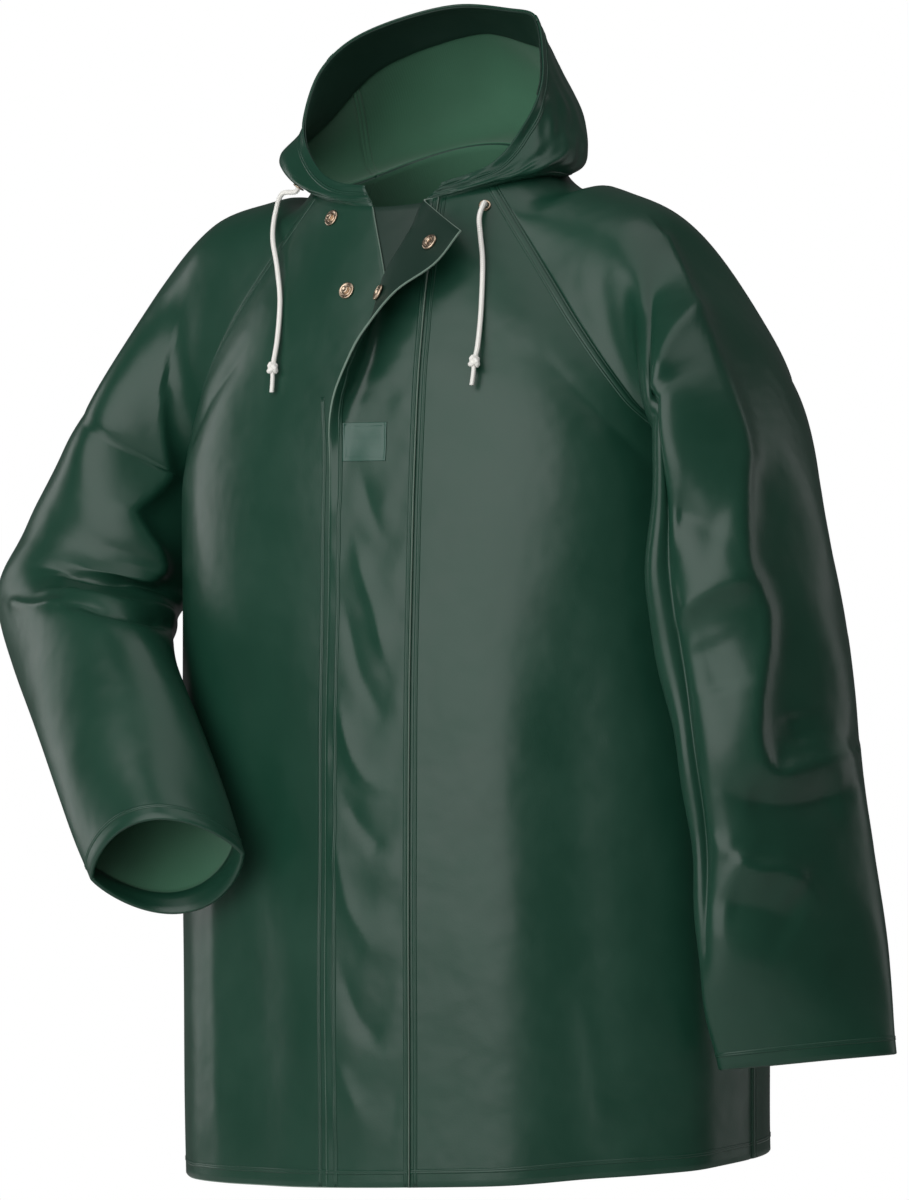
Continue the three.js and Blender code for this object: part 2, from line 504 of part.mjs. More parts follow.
for (const arm of [pieces.sleeveLeft, pieces.sleeveRight]) {
  for (const c of [0, SLEEVE_COLUMNS]) {
    const below = arm.grid[RAGLAN_ROWS + 1][c];
    pullBack(arm.grid[RAGLAN_ROWS][c], below, arm.normals[RAGLAN_ROWS][c], point(0, 0, 0), 4 * SEAM_GAP);
  }
}

const bodyThick = (r) => (r < 2 ? HEM_CLOTH : CLOTH);
const lastArmRow = sleeveLeft.length - 1;
const armThick = (r) => (r > lastArmRow - 2 ? HEM_CLOTH : CLOTH);
add("back", wall(back, pieces.back.normals, bodyThick), cloth);
add("front_right", wall(frontRight, pieces.frontRight.normals, bodyThick), cloth);
add("front_left", wall(frontLeft, pieces.frontLeft.normals, bodyThick), cloth);
add("sleeve_right", wall(sleeveRight, pieces.sleeveRight.normals, armThick, RAGLAN_ROWS), cloth);
add("sleeve_left", wall(sleeveLeft, pieces.sleeveLeft.normals, armThick, RAGLAN_ROWS), cloth);

// Front closure

// Rotates a step about the line of the flap's bend.
function turned(step, lean, degrees) {
  return step.clone().applyAxisAngle(point(lean, 0, 1).normalize(), degrees * DEGREE);
}

const FLAP_LIFT = LAYER_GAP + CLOTH;
const STEP = 2;
function flapPoint(level, distance) {
  const peel = read(PEEL, "level", level);
  const lie = (s) => {
    const degrees = frontDegrees(level, closureAt(level).weld - s);
    return bodyPoint(level, degrees).addScaledVector(bodyNormal(level, degrees), FLAP_LIFT);
  };
  if (distance <= peel.from || peel.turn < 0.5) return lie(distance);
  const place = lie(peel.from);
  const steps = Math.ceil((distance - peel.from) / STEP);
  for (let i = 0; i < steps; i++) {
    const from = mix(peel.from, distance, i / steps);
    const to = mix(peel.from, distance, (i + 1) / steps);
    const angle = peel.turn * smooth(((from + to) / 2 - peel.from) / peel.over);
    place.add(turned(lie(to).sub(lie(from)), peel.lean, angle));
  }
  return place;
}
const flap = bodyLevels.map((level) => FLAP_STEPS.map((s) => flapPoint(level, s)).reverse());
add("storm_flap", wall(flap, gridNormals(flap), () => CLOTH), cloth);

const placket = bodyLevels.map((level) => PLACKET_STEPS.map((s) => {
  const degrees = frontDegrees(level, closureAt(level).weld - s);
  const depth = level < 2 * hemLevel ? HEM_CLOTH : CLOTH;
  return bodyPoint(level, degrees).addScaledVector(bodyNormal(level, degrees), -(depth + LAYER_GAP));
}).reverse());
add("fly_placket", wall(placket, gridNormals(placket), () => CLOTH), facing);

// Hood

const HOOD_RIGHT_CORNER = frontDegrees(NECK, closureAt(NECK).free);
const HOOD_LEFT_CORNER = frontDegrees(NECK, closureAt(NECK).weld - WELD_MARGIN);
function hoodPoint(along, up) {
  const row = read(HOOD, "along", along);
  const neck = bodyPoint(NECK, mix(HOOD_RIGHT_CORNER, HOOD_LEFT_CORNER - 360, along)).add(point(0, 0, 0.6));
  const rim = point(row.rimX, row.rimY, row.rimZ);
  const leave = neck.clone().add(point(row.neckX, row.neckY, row.neckZ));
  const arrive = rim.clone().add(point(row.backX, row.backY, row.backZ));
  const down = 1 - up;
  return neck.multiplyScalar(down ** 3).addScaledVector(leave, 3 * down * down * up)
    .addScaledVector(arrive, 3 * down * up * up).addScaledVector(rim, up ** 3);
}
const hood = Array.from({ length: HOOD_ROWS + 1 }, (_, r) => Array.from({ length: HOOD_COLUMNS + 1 },
  (_, c) => hoodPoint(1 - c / HOOD_COLUMNS, r / HOOD_ROWS)));
const hoodNormals = gridNormals(hood);
const hoodPanels = [
  ["hood_left", 0, HOOD_SEAMS[0]],
  ["hood_middle", HOOD_SEAMS[0], HOOD_SEAMS[1]],
  ["hood_right", HOOD_SEAMS[1], HOOD_COLUMNS],
];
for (const [name, first, last] of hoodPanels) {
  const grid = hood.map((row) => row.slice(first, last + 1).map((p) => p.clone()));
  const normals = hoodNormals.map((row) => row.slice(first, last + 1));
  const columns = last - first;
  grid.forEach((row, r) => {
    const along = (column) => near(hood, r + 1)[column].clone().sub(near(hood, r - 1)[column]).normalize();
    if (first > 0) pullBack(row[0], row[1], normals[r][0], along(first), SEAM_GAP / 2);
    if (last < HOOD_COLUMNS) {
      pullBack(row[columns], row[columns - 1], normals[r][columns], along(last), SEAM_GAP / 2);
    }
  });
  add(name, wall(grid, normals, () => CLOTH), cloth);
}
const facingGrid = hood.slice(HOOD_ROWS - 2).map((row, r) => row.slice(6, HOOD_COLUMNS)
  .map((p, c) => p.clone().addScaledVector(hoodNormals[HOOD_ROWS - 2 + r][c + 6], -(CLOTH + LAYER_GAP))));
const facingNormals = hoodNormals.slice(HOOD_ROWS - 2).map((row) => row.slice(6, HOOD_COLUMNS));
add("hood_facing", wall(facingGrid, facingNormals, () => 1.2), facing);

// Small parts

// A turned part on an axis, from [radius, height] pairs that start and end on the axis or close on themselves.
function turnedPart(profile, sides, base, axis, ring = false) {
  const places = [];
  const faces = [];
  const toAxis = new THREE.Quaternion().setFromUnitVectors(point(0, 0, 1), axis.clone().normalize());
  const count = profile.length;
  for (let i = 0; i < sides; i++) {
    const angle = 2 * Math.PI * i / sides;
    for (const [radius, height] of profile) {
      const p = point(radius * Math.cos(angle), radius * Math.sin(angle), height).applyQuaternion(toAxis).add(base);
      places.push(p.x, p.y, p.z);
    }
  }
  const at = (i, k) => {
    const onAxis = profile[k % count][0] === 0;
    return (onAxis ? 0 : (i % sides) * count) + k % count;
  };
  for (let i = 0; i < sides; i++) {
    for (let k = 0; k < (ring ? count : count - 1); k++) {
      const [a, b, c, d] = [at(i, k), at(i + 1, k), at(i + 1, k + 1), at(i, k + 1)];
      if (a !== b) faces.push(a, b, c);
      if (c !== d) faces.push(a, c, d);
    }
  }
  const geometry = new THREE.BufferGeometry();
  geometry.setAttribute("position", new THREE.Float32BufferAttribute(places, 3));
  geometry.setIndex(faces);
  return geometry;
}

const STUD = [[0, 0], [7, 0], [7, 1], [5.8, 1.7], [3.4, 1.3], [3.1, 3.6], [2.4, 4.2], [0, 4.2]];
const SOCKET = [[0, 0], [7, 0], [7, 1.2], [5.8, 2.2], [3.4, 2.2], [3, 0.8], [0, 0.8]];
const EYELET = [[3.2, 0], [5.2, 0], [5.2, 0.8], [4.2, 1.5], [3.2, 0.8]];

// A round bar along a line of points, closed at both ends.
function bar(points, radius, sides, rings) {
  const curve = new THREE.CatmullRomCurve3(points, false, "centripetal");
  const frames = curve.computeFrenetFrames(rings, false);
  const places = [];
  const faces = [];
  for (let i = 0; i <= rings; i++) {
    const centre = curve.getPointAt(i / rings);
    for (let k = 0; k < sides; k++) {
      const angle = 2 * Math.PI * k / sides;
      const p = centre.clone().addScaledVector(frames.normals[i], radius * Math.cos(angle))
        .addScaledVector(frames.binormals[i], radius * Math.sin(angle));
      places.push(p.x, p.y, p.z);
    }
  }
  for (let i = 0; i < rings; i++) {
    for (let k = 0; k < sides; k++) {
      const [a, b] = [i * sides + k, i * sides + (k + 1) % sides];
      faces.push(a, b, b + sides, a, b + sides, a + sides);
    }
  }
  for (let k = 1; k < sides - 1; k++) {
    const end = rings * sides;
    faces.push(0, k + 1, k, end, end + k, end + k + 1);
  }
  const geometry = new THREE.BufferGeometry();
  geometry.setAttribute("position", new THREE.Float32BufferAttribute(places, 3));
  geometry.setIndex(faces);
  return geometry;
}

const STUDS = { stud_upper: { level: 7.78, x: -56 }, stud_lower: { level: 6.74, x: -26 } };
for (const [name, { level, x }] of Object.entries(STUDS)) {
  const degrees = frontDegrees(level, x);
  const out = bodyNormal(level, degrees);
  add(name, turnedPart(STUD, 14, bodyPoint(level, degrees).addScaledVector(out, LAYER_GAP), out), metal);
}

// The flap's inner face at a level and a distance from its weld.
function flapInside(level, distance) {
  const place = flapPoint(level, distance);
  const across = flapPoint(level, distance - 3).sub(flapPoint(level, distance + 3));
  const up = flapPoint(Math.min(level + 0.08, NECK), distance).sub(flapPoint(level - 0.08, distance));
  const inward = across.cross(up).normalize().negate();
  return { place: place.addScaledVector(inward, CLOTH + 2 * LAYER_GAP), inward };
}
const SOCKETS = { socket_upper: { level: 7.66, distance: 53 }, socket_lower: { level: 6.74, distance: 50 } };
for (const [name, { level, distance }] of Object.entries(SOCKETS)) {
  const { place, inward } = flapInside(level, distance);
  add(name, turnedPart(SOCKET, 14, place, inward), metal);
}

const EYELETS = {
  eyelet_right: { place: hoodPoint(0.135, 0.2), beside: hoodPoint(0.145, 0.2), above: hoodPoint(0.135, 0.24) },
  eyelet_left: {
    place: bodyPoint(7.76, frontDegrees(7.76, 83)),
    beside: bodyPoint(7.76, frontDegrees(7.76, 82)),
    above: bodyPoint(7.8, frontDegrees(7.76, 83)),
  },
};
const cordStarts = {};
for (const [name, { place, beside, above }] of Object.entries(EYELETS)) {
  const out = above.clone().sub(place).cross(beside.clone().sub(place)).normalize();
  cordStarts[name.replace("eyelet", "drawcord")] = [0.3, 5].map((d) => place.clone().addScaledVector(out, d));
  add(name, turnedPart(EYELET, 14, place.clone().addScaledVector(out, LAYER_GAP), out, true), metal);
}

const CORDS = { drawcord_right: DRAWCORD_RIGHT, drawcord_left: DRAWCORD_LEFT };
for (const [name, path] of Object.entries(CORDS)) {
  const points = [...cordStarts[name], ...path.map((place) => point(...place))];
  const tail = points[points.length - 1];
  const knot = points[points.length - 2];
  const last = points[points.length - 3];
  const down = tail.clone().sub(knot).normalize();
  const meet = knot.clone().addScaledVector(last.clone().sub(knot).normalize(), KNOT_RADIUS + 0.1);
  add(name, bar([...points.slice(0, -2), meet], CORD_WIDTH / 2, 8, 16), cord);
  const round = [[0, -4.8], [2.4, -4.3], [4.2, -2.4], [KNOT_RADIUS, 0], [4.2, 2.4], [2.4, 4.3]];
  const end = tail.distanceTo(knot);
  const profile = [...round, [2.3, end - 2], [1.6, end], [0, end]];
  add(name.replace("drawcord", "knot"), turnedPart(profile, 10, knot, down), cord);
}

const badgeLevels = [4.26, 4.43, 4.6, 4.78];
const badgeSteps = [26, 36, 45, 54, 60, 66];
const badgeBase = badgeLevels.map((level) => badgeSteps.map((s) => flapPoint(level, s)).reverse());
const badgeNormals = gridNormals(badgeBase);
const badgeGrid = badgeBase.map((row, r) => row.map((p, c) => p.clone().addScaledVector(badgeNormals[r][c], 1.2)));
add("badge", wall(badgeGrid, badgeNormals, () => 0.6), badge);

export default group;
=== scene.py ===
"""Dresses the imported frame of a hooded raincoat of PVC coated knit, in its worn form with nobody in it.

Every surface is worked out in millimetres from the tables below, in the part's own frame: +Z up, the front
towards -Y, the wearer's left towards +X, the origin in the middle of the neck opening.
"""

import math

import bpy
import numpy as np
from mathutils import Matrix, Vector


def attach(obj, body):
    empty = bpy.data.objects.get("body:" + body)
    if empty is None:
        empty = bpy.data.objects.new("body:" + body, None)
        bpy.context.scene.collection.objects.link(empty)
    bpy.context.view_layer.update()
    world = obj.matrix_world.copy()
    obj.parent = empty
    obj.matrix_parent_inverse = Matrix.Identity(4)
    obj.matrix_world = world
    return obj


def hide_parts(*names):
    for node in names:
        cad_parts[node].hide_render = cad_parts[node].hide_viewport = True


bl_info = {
    "name": "Hooded Raincoat",
    "version": (1, 0, 0),
    "blender": (4, 5, 0),
    "location": "3D View > Sidebar > Raincoat",
    "description": "Builds a hooded raincoat of coated knit round its packed frame",
    "category": "Object",
}

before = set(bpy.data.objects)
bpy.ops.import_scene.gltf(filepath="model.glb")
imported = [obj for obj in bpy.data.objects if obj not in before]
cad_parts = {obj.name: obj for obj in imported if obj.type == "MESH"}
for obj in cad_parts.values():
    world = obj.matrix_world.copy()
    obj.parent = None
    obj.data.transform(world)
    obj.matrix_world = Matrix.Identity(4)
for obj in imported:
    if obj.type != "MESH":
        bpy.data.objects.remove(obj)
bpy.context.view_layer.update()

MM = 0.001  # metres in a millimetre

# The loops of the coat's body, from the hem (0) over the armpits (4) to the neck seam (8).
# Columns: level, front, side and back heights, tilt, mid_x, mid_y, half_x, half_y, square
BODY = np.array([
    (0, -819, -817, -812, 0.07, 17, 28, 261, 176, 0.92),
    (1, -656, -655, -652, 0.05, 15, 25, 260, 174, 0.92),
    (2, -504, -503, -498, 0.03, 13, 21, 257, 170, 0.91),
    (3, -364, -363, -356, 0.01, 11, 17, 252, 163, 0.88),
    (4, -252, -246, -240, 0, 9, 12, 243, 152, 0.79),
    (5, -188, -180, -160, 0, 7, 8, 226, 140, 0.79),
    (6, -132, -115, -85, 0, 5, 4, 198, 124, 0.82),
    (7, -76, -55, -16, 0, 2, 0, 156, 104, 0.88),
    (8, -20, 6, 46, 0, 0, -4, 112, 84, 1),
])
ARMPIT = 4
NECK = 8
LEVEL_HEIGHT = 163  # between two levels of the skirt
DEGREE_WIDTH = 3.9  # of a degree round the skirt
PANEL_WIDTHS = {"back": 700, "front_right": 340, "front_left": 260}
BODY_HALF_WIDTH = 260
FOLDS_TOP = 7  # the level at which the body's folds have died out
UNEVEN_TOP = 7.4
FADING = 1.5  # levels over which folds, waves and unevenness fade

# Where the raglan seams cross those loops, in degrees from the middle of the front.
# Columns: level, front_left, front_right, back
RAGLAN = np.array([
    (4, 90, 90, 90),
    (4.5, 75, 81, 100),
    (5, 64, 73, 107),
    (6, 55, 64, 116),
    (7, 53, 59, 122),
    (8, 51, 54, 126),
])

# Columns: level, x of the storm flap's weld, x of the right front's free edge
CLOSURE = np.array([
    (0, 57, 42),
    (4, 57, 42),
    (5, 55, 36),
    (6, 52, 25),
    (7, 48, 7),
    (8, 46, -14),
])
FLAP_WIDTH = 77
FLAP_DEPTH = 2  # thickness of the solid flap, which lies on the body with one layer gap between
FLAP_COLUMNS = 32
WELD_MARGIN = 10  # of the left front's cloth beyond the flap's weld
PLACKET_REACH = (70, -16)  # from the flap's weld, towards the wearer's right and left
PLACKET_COLUMNS = 30

# How far the flap is turned open.
# Columns: level, from (distance from its weld), over (length of the bend), turn in degrees, lean
PEEL = np.array([
    (0, 60, 17, 0, 0),
    (3, 60, 17, 0, 0),
    (3.6, 60, 17, 2, 0.1),
    (4.2, 58, 17, 16, 0.15),
    (5, 50, 20, 66, 0.2),
    (5.6, 38, 20, 92, 0.25),
    (6.3, 30, 20, 114, 0.3),
    (7, 24, 18, 140, 0.3),
    (7.5, 10, 20, 154, 0.28),
    (8, 0, 20, 154, 0.25),
])

# The sleeves, from the neck (-4) over the armpit (0) to the cuff (6).
# Columns: station, under x y z, over x y z, deep x y z, round
LEFT_SLEEVE = np.array([
    (-4, 90, -2, 8, 112, 2, 6, 0, 0, 0, 1),
    (-3, 134, -5, -56, 166, 4, -8, 0, -5, 0, 1),
    (-2, 182, -3, -116, 214, 2, -30, 0, -12, 0, 1),
    (-1, 223, 1, -180, 252, -12, -80, -7, -32, -2, 1.2),
    (0, 252, 12, -246, 300, -70, -156, -20, -82, -10, 2),
    (1, 260, -46, -308, 342, -66, -262, -32, -80, -4, 2),
    (2, 268, -44, -386, 362, -54, -370, -34, -80, 0, 2),
    (3, 284, -44, -467, 371, -50, -457, -32, -80, 0, 2),
    (4, 299, -42, -546, 378, -48, -536, -36, -74, 0, 2),
    (5, 312, -36, -626, 381, -52, -618, -44, -70, -2, 2),
    (6, 334, -23, -712, 381, -51, -704, -54, -46, -5, 2),
])
RIGHT_SLEEVE = np.array([
    (-4, -90, -2, 8, -112, 2, 6, 0, 0, 0, 1),
    (-3, -134, -5, -56, -166, 6, -1, 0, -4, 0, 1),
    (-2, -182, -3, -116, -220, 8, -17, 0, -8, 0, 1),
    (-1, -223, 1, -180, -274, 8, -66, 3, -16, 0, 1.2),
    (0, -234, 12, -246, -340, 4, -176, 4, -72, 0, 2),
    (1, -246, 2, -296, -372, -8, -226, 4, -76, 2, 2),
    (2, -256, -10, -332, -398, -24, -282, 8, -72, 10, 2),
    (3, -256, -36, -356, -412, -50, -344, 10, -62, 26, 2),
    (4, -199, -108, -390, -372, -94, -404, 10, -46, 38, 2),
    (5, -142, -140, -458, -284, -168, -484, 8, -36, 36, 2),
    (6, -84, -172, -550, -216, -202, -574, 8, -40, 41, 2),
])
SHOULDER = -4
CUFF = 6
STATION_LENGTH = 80
RAGLAN_STATION_LENGTH = 62
CUFF_STATION_LENGTH = 90  # between the last two stations, where the hem is turned in
SLEEVE_GIRTH = 460

# The hood's front edge and the handles that carry the cloth out of the neck seam and into that edge.
# Columns: along, rim x y z, neck handle x y z, back handle x y z
HOOD = np.array([
    (0, -24, -83, -2, 0, 0, 6, 0, 0, -6),
    (0.06, -54, -76, 3, -8, -6, 8, -4, -2, -10),
    (0.12, -80, -64, 16, -24, -8, 14, -26, -2, -12),
    (0.2, -106, -47, 44, -56, -12, 28, -20, 12, -4),
    (0.28, -118, -26, 72, -70, 10, 20, 0, 38, -8),
    (0.34, -118, -2, 108, -60, 44, 8, 6, 58, -12),
    (0.4, -101, 21, 136, -46, 70, 4, 4, 66, -10),
    (0.46, -66, 44, 155, -12, 86, -2, -4, 72, -8),
    (0.52, -18, 59, 165, 4, 92, -6, 0, 72, -6),
    (0.58, 34, 57, 158, 20, 84, -4, -4, 56, -14),
    (0.63, 64, 50, 149, 26, 66, 0, -8, 36, -20),
    (0.7, 87, 22, 113, 32, 40, 6, -2, 40, -22),
    (0.78, 101, -8, 77, 32, 10, 10, 4, 34, -24),
    (0.86, 97, -34, 42, 28, -2, 10, 10, 14, -18),
    (0.93, 82, -58, 13, 14, -4, 8, 8, 2, -10),
    (1, 48, -80, -3, 2, -2, 6, 0, 0, -6),
])
HOOD_SEAMS = (10 / 28, 18 / 28)  # from the wearer's left, as shares of the hood
FACING_START = 6 / 28
FACING_END = 27 / 28
FACING_WIDTH = 44
FACING_CLOTH = 1.2
HOOD_LENGTH = 720  # along its front edge
HOOD_DEPTH = 190  # from the neck seam to that edge
HOOD_DROP = 0.8  # by which the hood starts below the neck's line, so that no light comes through the seam

# Soft upright waves of the body's cloth. Columns: at, spread (degrees), rise (mm), highest level
WAVES = np.array([
    (24, 8, 4, 3.6),
    (43, 9, -6, 3.6),
    (68, 8, 5, 3),
    (-24, 8, -5, 3.4),
    (-46, 9, 4, 3.6),
    (130, 9, 7, 3.6),
    (158, 9, -7, 3.6),
    (184, 10, 6, 3.8),
    (212, 9, -6, 3.6),
    (236, 9, 6, 3.4),
])

# The cloth's own unevenness on each piece: its rise, its wavelength and the seed of its directions.
BODY_UNEVEN = (0.7, 150, 11)
LEFT_UNEVEN = (1.1, 110, 5)
RIGHT_UNEVEN = (1.1, 110, 6)
FLAP_UNEVEN = (0.5, 46, 21)
HOOD_UNEVEN = [(1.2, 70, 31), (0.5, 30, 32)]

# Folds: the places that one runs through, its half width, how much narrower its lee side is, and its rise.
FOLD_CREST = 1.35  # the power of its slope: 2 is a soft round crest and 1 a sharp one
FOLD_ENDS = 0.2  # the share of its length over which it dies out at each end
FOLD_LEFT = 0.45  # the share of its rise that is left there

# Places on the body are (level, degrees).
BODY_FOLDS = [
    ([(3.9, 84), (3.2, 76), (2.4, 70)], 16, 0.6, -3),
    ([(3.8, -84), (3.0, -74), (2.2, -66)], 18, 0.6, -3),
    ([(0.2, 46), (0.9, 42)], 12, 0.8, 2),
    ([(0.1, -36), (1.2, -38), (2.0, -34)], 14, 0.7, 2),
    ([(5.6, 40), (4.8, 52), (4.1, 66)], 26, 0.8, -3),
    ([(5.8, -38), (5.0, -50), (4.3, -62)], 26, 0.8, -3),
    ([(4.2, 110), (3.2, 122), (2.2, 128)], 22, 0.7, -5),
    ([(4.2, 250), (3.2, 238), (2.2, 232)], 22, 0.7, -5),
    ([(5.2, 150), (4.6, 180), (5.2, 210)], 24, 0.8, -5),
]

# Places on a sleeve are (station, turn), with turn 0 at its front seam and 1 at its back one.
LEFT_FOLDS = [
    ([(-0.84, 0.34), (0.1, 0.34), (0.85, 0.29), (1.65, 0.26), (2.55, 0.25), (3.5, 0.25), (4.9, 0.25)],
     25, 1.0, -15),
    ([(-1.55, 0.426), (-0.9, 0.435), (-0.39, 0.47), (0.1, 0.487), (0.65, 0.478), (0.85, 0.452), (1.45, 0.409),
      (1.65, 0.426), (1.9, 0.435), (2.55, 0.4), (3.05, 0.391), (3.3, 0.417), (3.2, 0.47), (3.1, 0.565)],
     10, 2.5, 12),
    ([(-0.5, 0.47), (-0.4, 0.42), (-0.1, 0.37)], 12, 1.0, 6),
    ([(1.25, 0.4), (0.95, 0.33)], 17, 1.0, -8),
    ([(1.55, 0.42), (1.6, 0.35), (1.8, 0.28)], 11, 1.6, 8),
    ([(2.0, 0.33), (2.5, 0.35)], 20, 1.0, -6),
    ([(2.7, 0.46), (3.0, 0.47)], 18, 1.0, -6),
    ([(3.5, 0.36), (3.65, 0.45), (3.5, 0.55)], 18, 0.7, -8),
    ([(4.0, 0.33), (4.2, 0.374), (4.2, 0.426), (4.4, 0.47)], 10, 2.0, 8),
    ([(4.5, 0.32), (4.6, 0.4), (4.8, 0.46)], 18, 1.0, -5),
    ([(0.4, 0.75), (1.2, 0.68), (1.8, 0.78)], 20, 0.7, -9),
    ([(2.4, 0.72), (3, 0.8), (3.6, 0.72)], 20, 0.7, -8),
]
RIGHT_FOLDS = [
    ([(-0.58, 0.165), (-0.06, 0.148), (0.65, 0.174), (0.85, 0.174), (1.1, 0.139), (1.4, 0.087), (1.75, 0.075),
      (2.1, 0.085), (2.4, 0.12), (2.6, 0.17)], 26, 0.4, 12),
    ([(2.75, 0.24), (2.85, 0.16), (2.65, 0.1)], 14, 0.8, -7),
    ([(3.8, 0.23), (3.85, 0.165), (3.75, 0.096), (3.5, 0.009)], 8, 1.0, -9),
    ([(3.45, 0.26), (3.58, 0.165), (3.48, 0.096), (3.2, 0.02)], 10, 0.7, 6),
    ([(3.4, 0.374), (3.8, 0.304), (3.7, 0.235)], 10, 0.8, 5),
    ([(0.4, 0.72), (1.2, 0.66), (2.2, 0.72)], 20, 0.7, -8),
    ([(2.9, 0.62), (3.4, 0.72), (3.7, 0.86)], 18, 0.7, -8),
    ([(2.0, 0.0), (2.7, 0.0), (3.5, 0.0)], 45, 1.0, 11),
    ([(2.0, 1.0), (2.7, 1.0), (3.5, 1.0)], 45, 1.0, 11),
]

# Places on the flap are (level, millimetres from its weld).
FLAP_LEVEL_HEIGHT = 150
FLAP_FOLDS = [
    ([(3.5, 52), (3.1, 34), (2.8, 22)], 9, 0.6, 2.4),
    ([(3.1, 62), (2.7, 48), (2.5, 30)], 10, 0.6, -2.0),
    ([(2.5, 66), (2.15, 50), (2.05, 26)], 9, 0.5, 2.6),
    ([(2.0, 60), (1.8, 40), (1.7, 22)], 10, 0.6, -2.2),
    ([(1.75, 68), (1.4, 56), (1.2, 34)], 11, 0.6, 2.2),
    ([(1.1, 64), (0.8, 46), (0.7, 24)], 11, 0.6, -2.0),
    ([(0.6, 66), (0.35, 44)], 10, 0.6, 1.8),
    ([(4.1, 50), (3.8, 40), (3.6, 28)], 9, 0.7, -1.6),
]

# The free ends of the drawcord after they leave the eyelets, to the knot and the end of the tail.
CORD_WIDTH = 4.8
TAIL_WIDTH = 4.4  # of the worn tail below the knot
STRANDS = 4  # that turn each way round the cord
KNOT_RADIUS = 4.8  # of the solid knot, where the cord ends
KNOT_STRAND_WIDTH = 4.6
KNOT_SIZE = 1.2  # of the overhand knot's curve, which reaches three times as far from its middle
KNOT_FLATNESS = 1.6
DRAWCORD_RIGHT = [(-121, -57, -2), (-129, -54, -16), (-125, -65, -37), (-106, -88, -67),
                  (-95, -101, -94), (-88, -116, -128), (-87, -125, -153), (-86, -128, -173)]
DRAWCORD_LEFT = [(87, -86, -33), (89, -88, -47), (94, -93, -68), (100, -105, -101),
                 (103, -113, -122), (105, -121, -142), (105, -126, -153), (105, -130, -172)]

# Where the small parts sit: (level, x) on the fronts and (level, distance) inside the flap.
STUDS = {"stud_upper": (7.78, -56), "stud_lower": (6.74, -26)}
SOCKETS = {"socket_upper": (7.66, 53), "socket_lower": (6.74, 50)}
SOCKET_LIFT = 0.8  # off the flap's inner face
EYELET_RIGHT = (0.135, 0.2)  # along and up the hood
EYELET_LEFT = (7.76, 83)  # level and x on the left front
BADGE_LEVELS = (4.26, 4.78)
BADGE_DISTANCES = (26, 66)
BADGE_LEVEL_HEIGHT = 62
BADGE_THICKNESS = 0.75
BADGE_COUNT = 40  # of its rows and columns
PRESSED_DEPTH = 0.35  # of the groove that the welding bar leaves round the patch
PRESSED_AT = 2.2
PRESSED_WIDTH = 0.6

# The camera's distance, aim and frame, and the size of the picture that it takes.
CAMERA_AZIMUTH = 30
CAMERA_DISTANCE = 3500
CAMERA_AIM = (10.5, 6.1, -344)
PIXEL_SIZE = 0.84
PICTURE_HEIGHT = 1200


class RaincoatSizes(bpy.types.PropertyGroup):
    """Sizes of the cloth and of the meshes made from it"""

    cloth: bpy.props.FloatProperty(
        name="Cloth", description="Thickness of the coated knit", default=0.0019, unit="LENGTH")
    hem_cloth: bpy.props.FloatProperty(
        name="Doubled cloth", description="Thickness where a hem is turned in", default=0.0036, unit="LENGTH")
    hem: bpy.props.FloatProperty(
        name="Hem", description="Width of the turned hems", default=0.015, unit="LENGTH")
    layer_gap: bpy.props.FloatProperty(
        name="Layer gap", description="Room between layers of cloth", default=0.0004, unit="LENGTH")
    step: bpy.props.FloatProperty(
        name="Mesh step", description="Spacing of the cloth's mesh", default=0.005, unit="LENGTH")
    fine_step: bpy.props.FloatProperty(
        name="Fine mesh step", description="Spacing on the sleeves and hood", default=0.004, unit="LENGTH")


class RaincoatColours(bpy.types.PropertyGroup):
    """Colours of the finishes, as sRGB hex values"""

    coating: bpy.props.StringProperty(name="Coating", description="Outer face of the cloth", default="194031")
    backing: bpy.props.StringProperty(name="Backing", description="Knitted inner face", default="38694F")
    # The facing is the same coated cloth as the outer face, drawn darker: painted shade for the strips that
    # lie in shade inside the hood and behind the flap.
    facing: bpy.props.StringProperty(name="Facing", description="Coated strips inside", default="142F25")
    edge: bpy.props.StringProperty(name="Cut edge", description="Knit at the cut edges", default="6E8577")
    patch: bpy.props.StringProperty(name="Patch", description="Bare welded patch", default="33564A")
    cord: bpy.props.StringProperty(name="Cord", description="Braided drawcord", default="F7F5EF")
    metal: bpy.props.StringProperty(name="Metal", description="Studs and eyelets", default="BFAA94")


class RaincoatStudio(bpy.types.PropertyGroup):
    """Light and backdrop"""

    key: bpy.props.FloatProperty(
        name="Key", description="Power of the big soft light", default=50, unit="POWER")
    side: bpy.props.FloatProperty(
        name="Side", description="Power of the light at the left", default=9, unit="POWER")
    right: bpy.props.FloatProperty(
        name="Right", description="Power of the light at the right", default=4.5, unit="POWER")
    top: bpy.props.FloatProperty(
        name="Top", description="Power of the light overhead", default=18, unit="POWER")
    surround: bpy.props.FloatProperty(
        name="Surround", description="Brightness of the room", default=0.08)


def sizes():
    """The sizes that a user can set, in metres."""
    return bpy.context.scene.raincoat_sizes


def in_mm(length):
    """Millimetres from a length in metres."""
    return length / MM


# Reading tables and joining surfaces

def smooth(t):
    """An eased step from 0 to 1, level at both ends."""
    held = np.clip(t, 0, 1)
    return held * held * (3 - 2 * held)


def mix(a, b, t):
    """A share t of the way from a to b."""
    return a + (b - a) * t


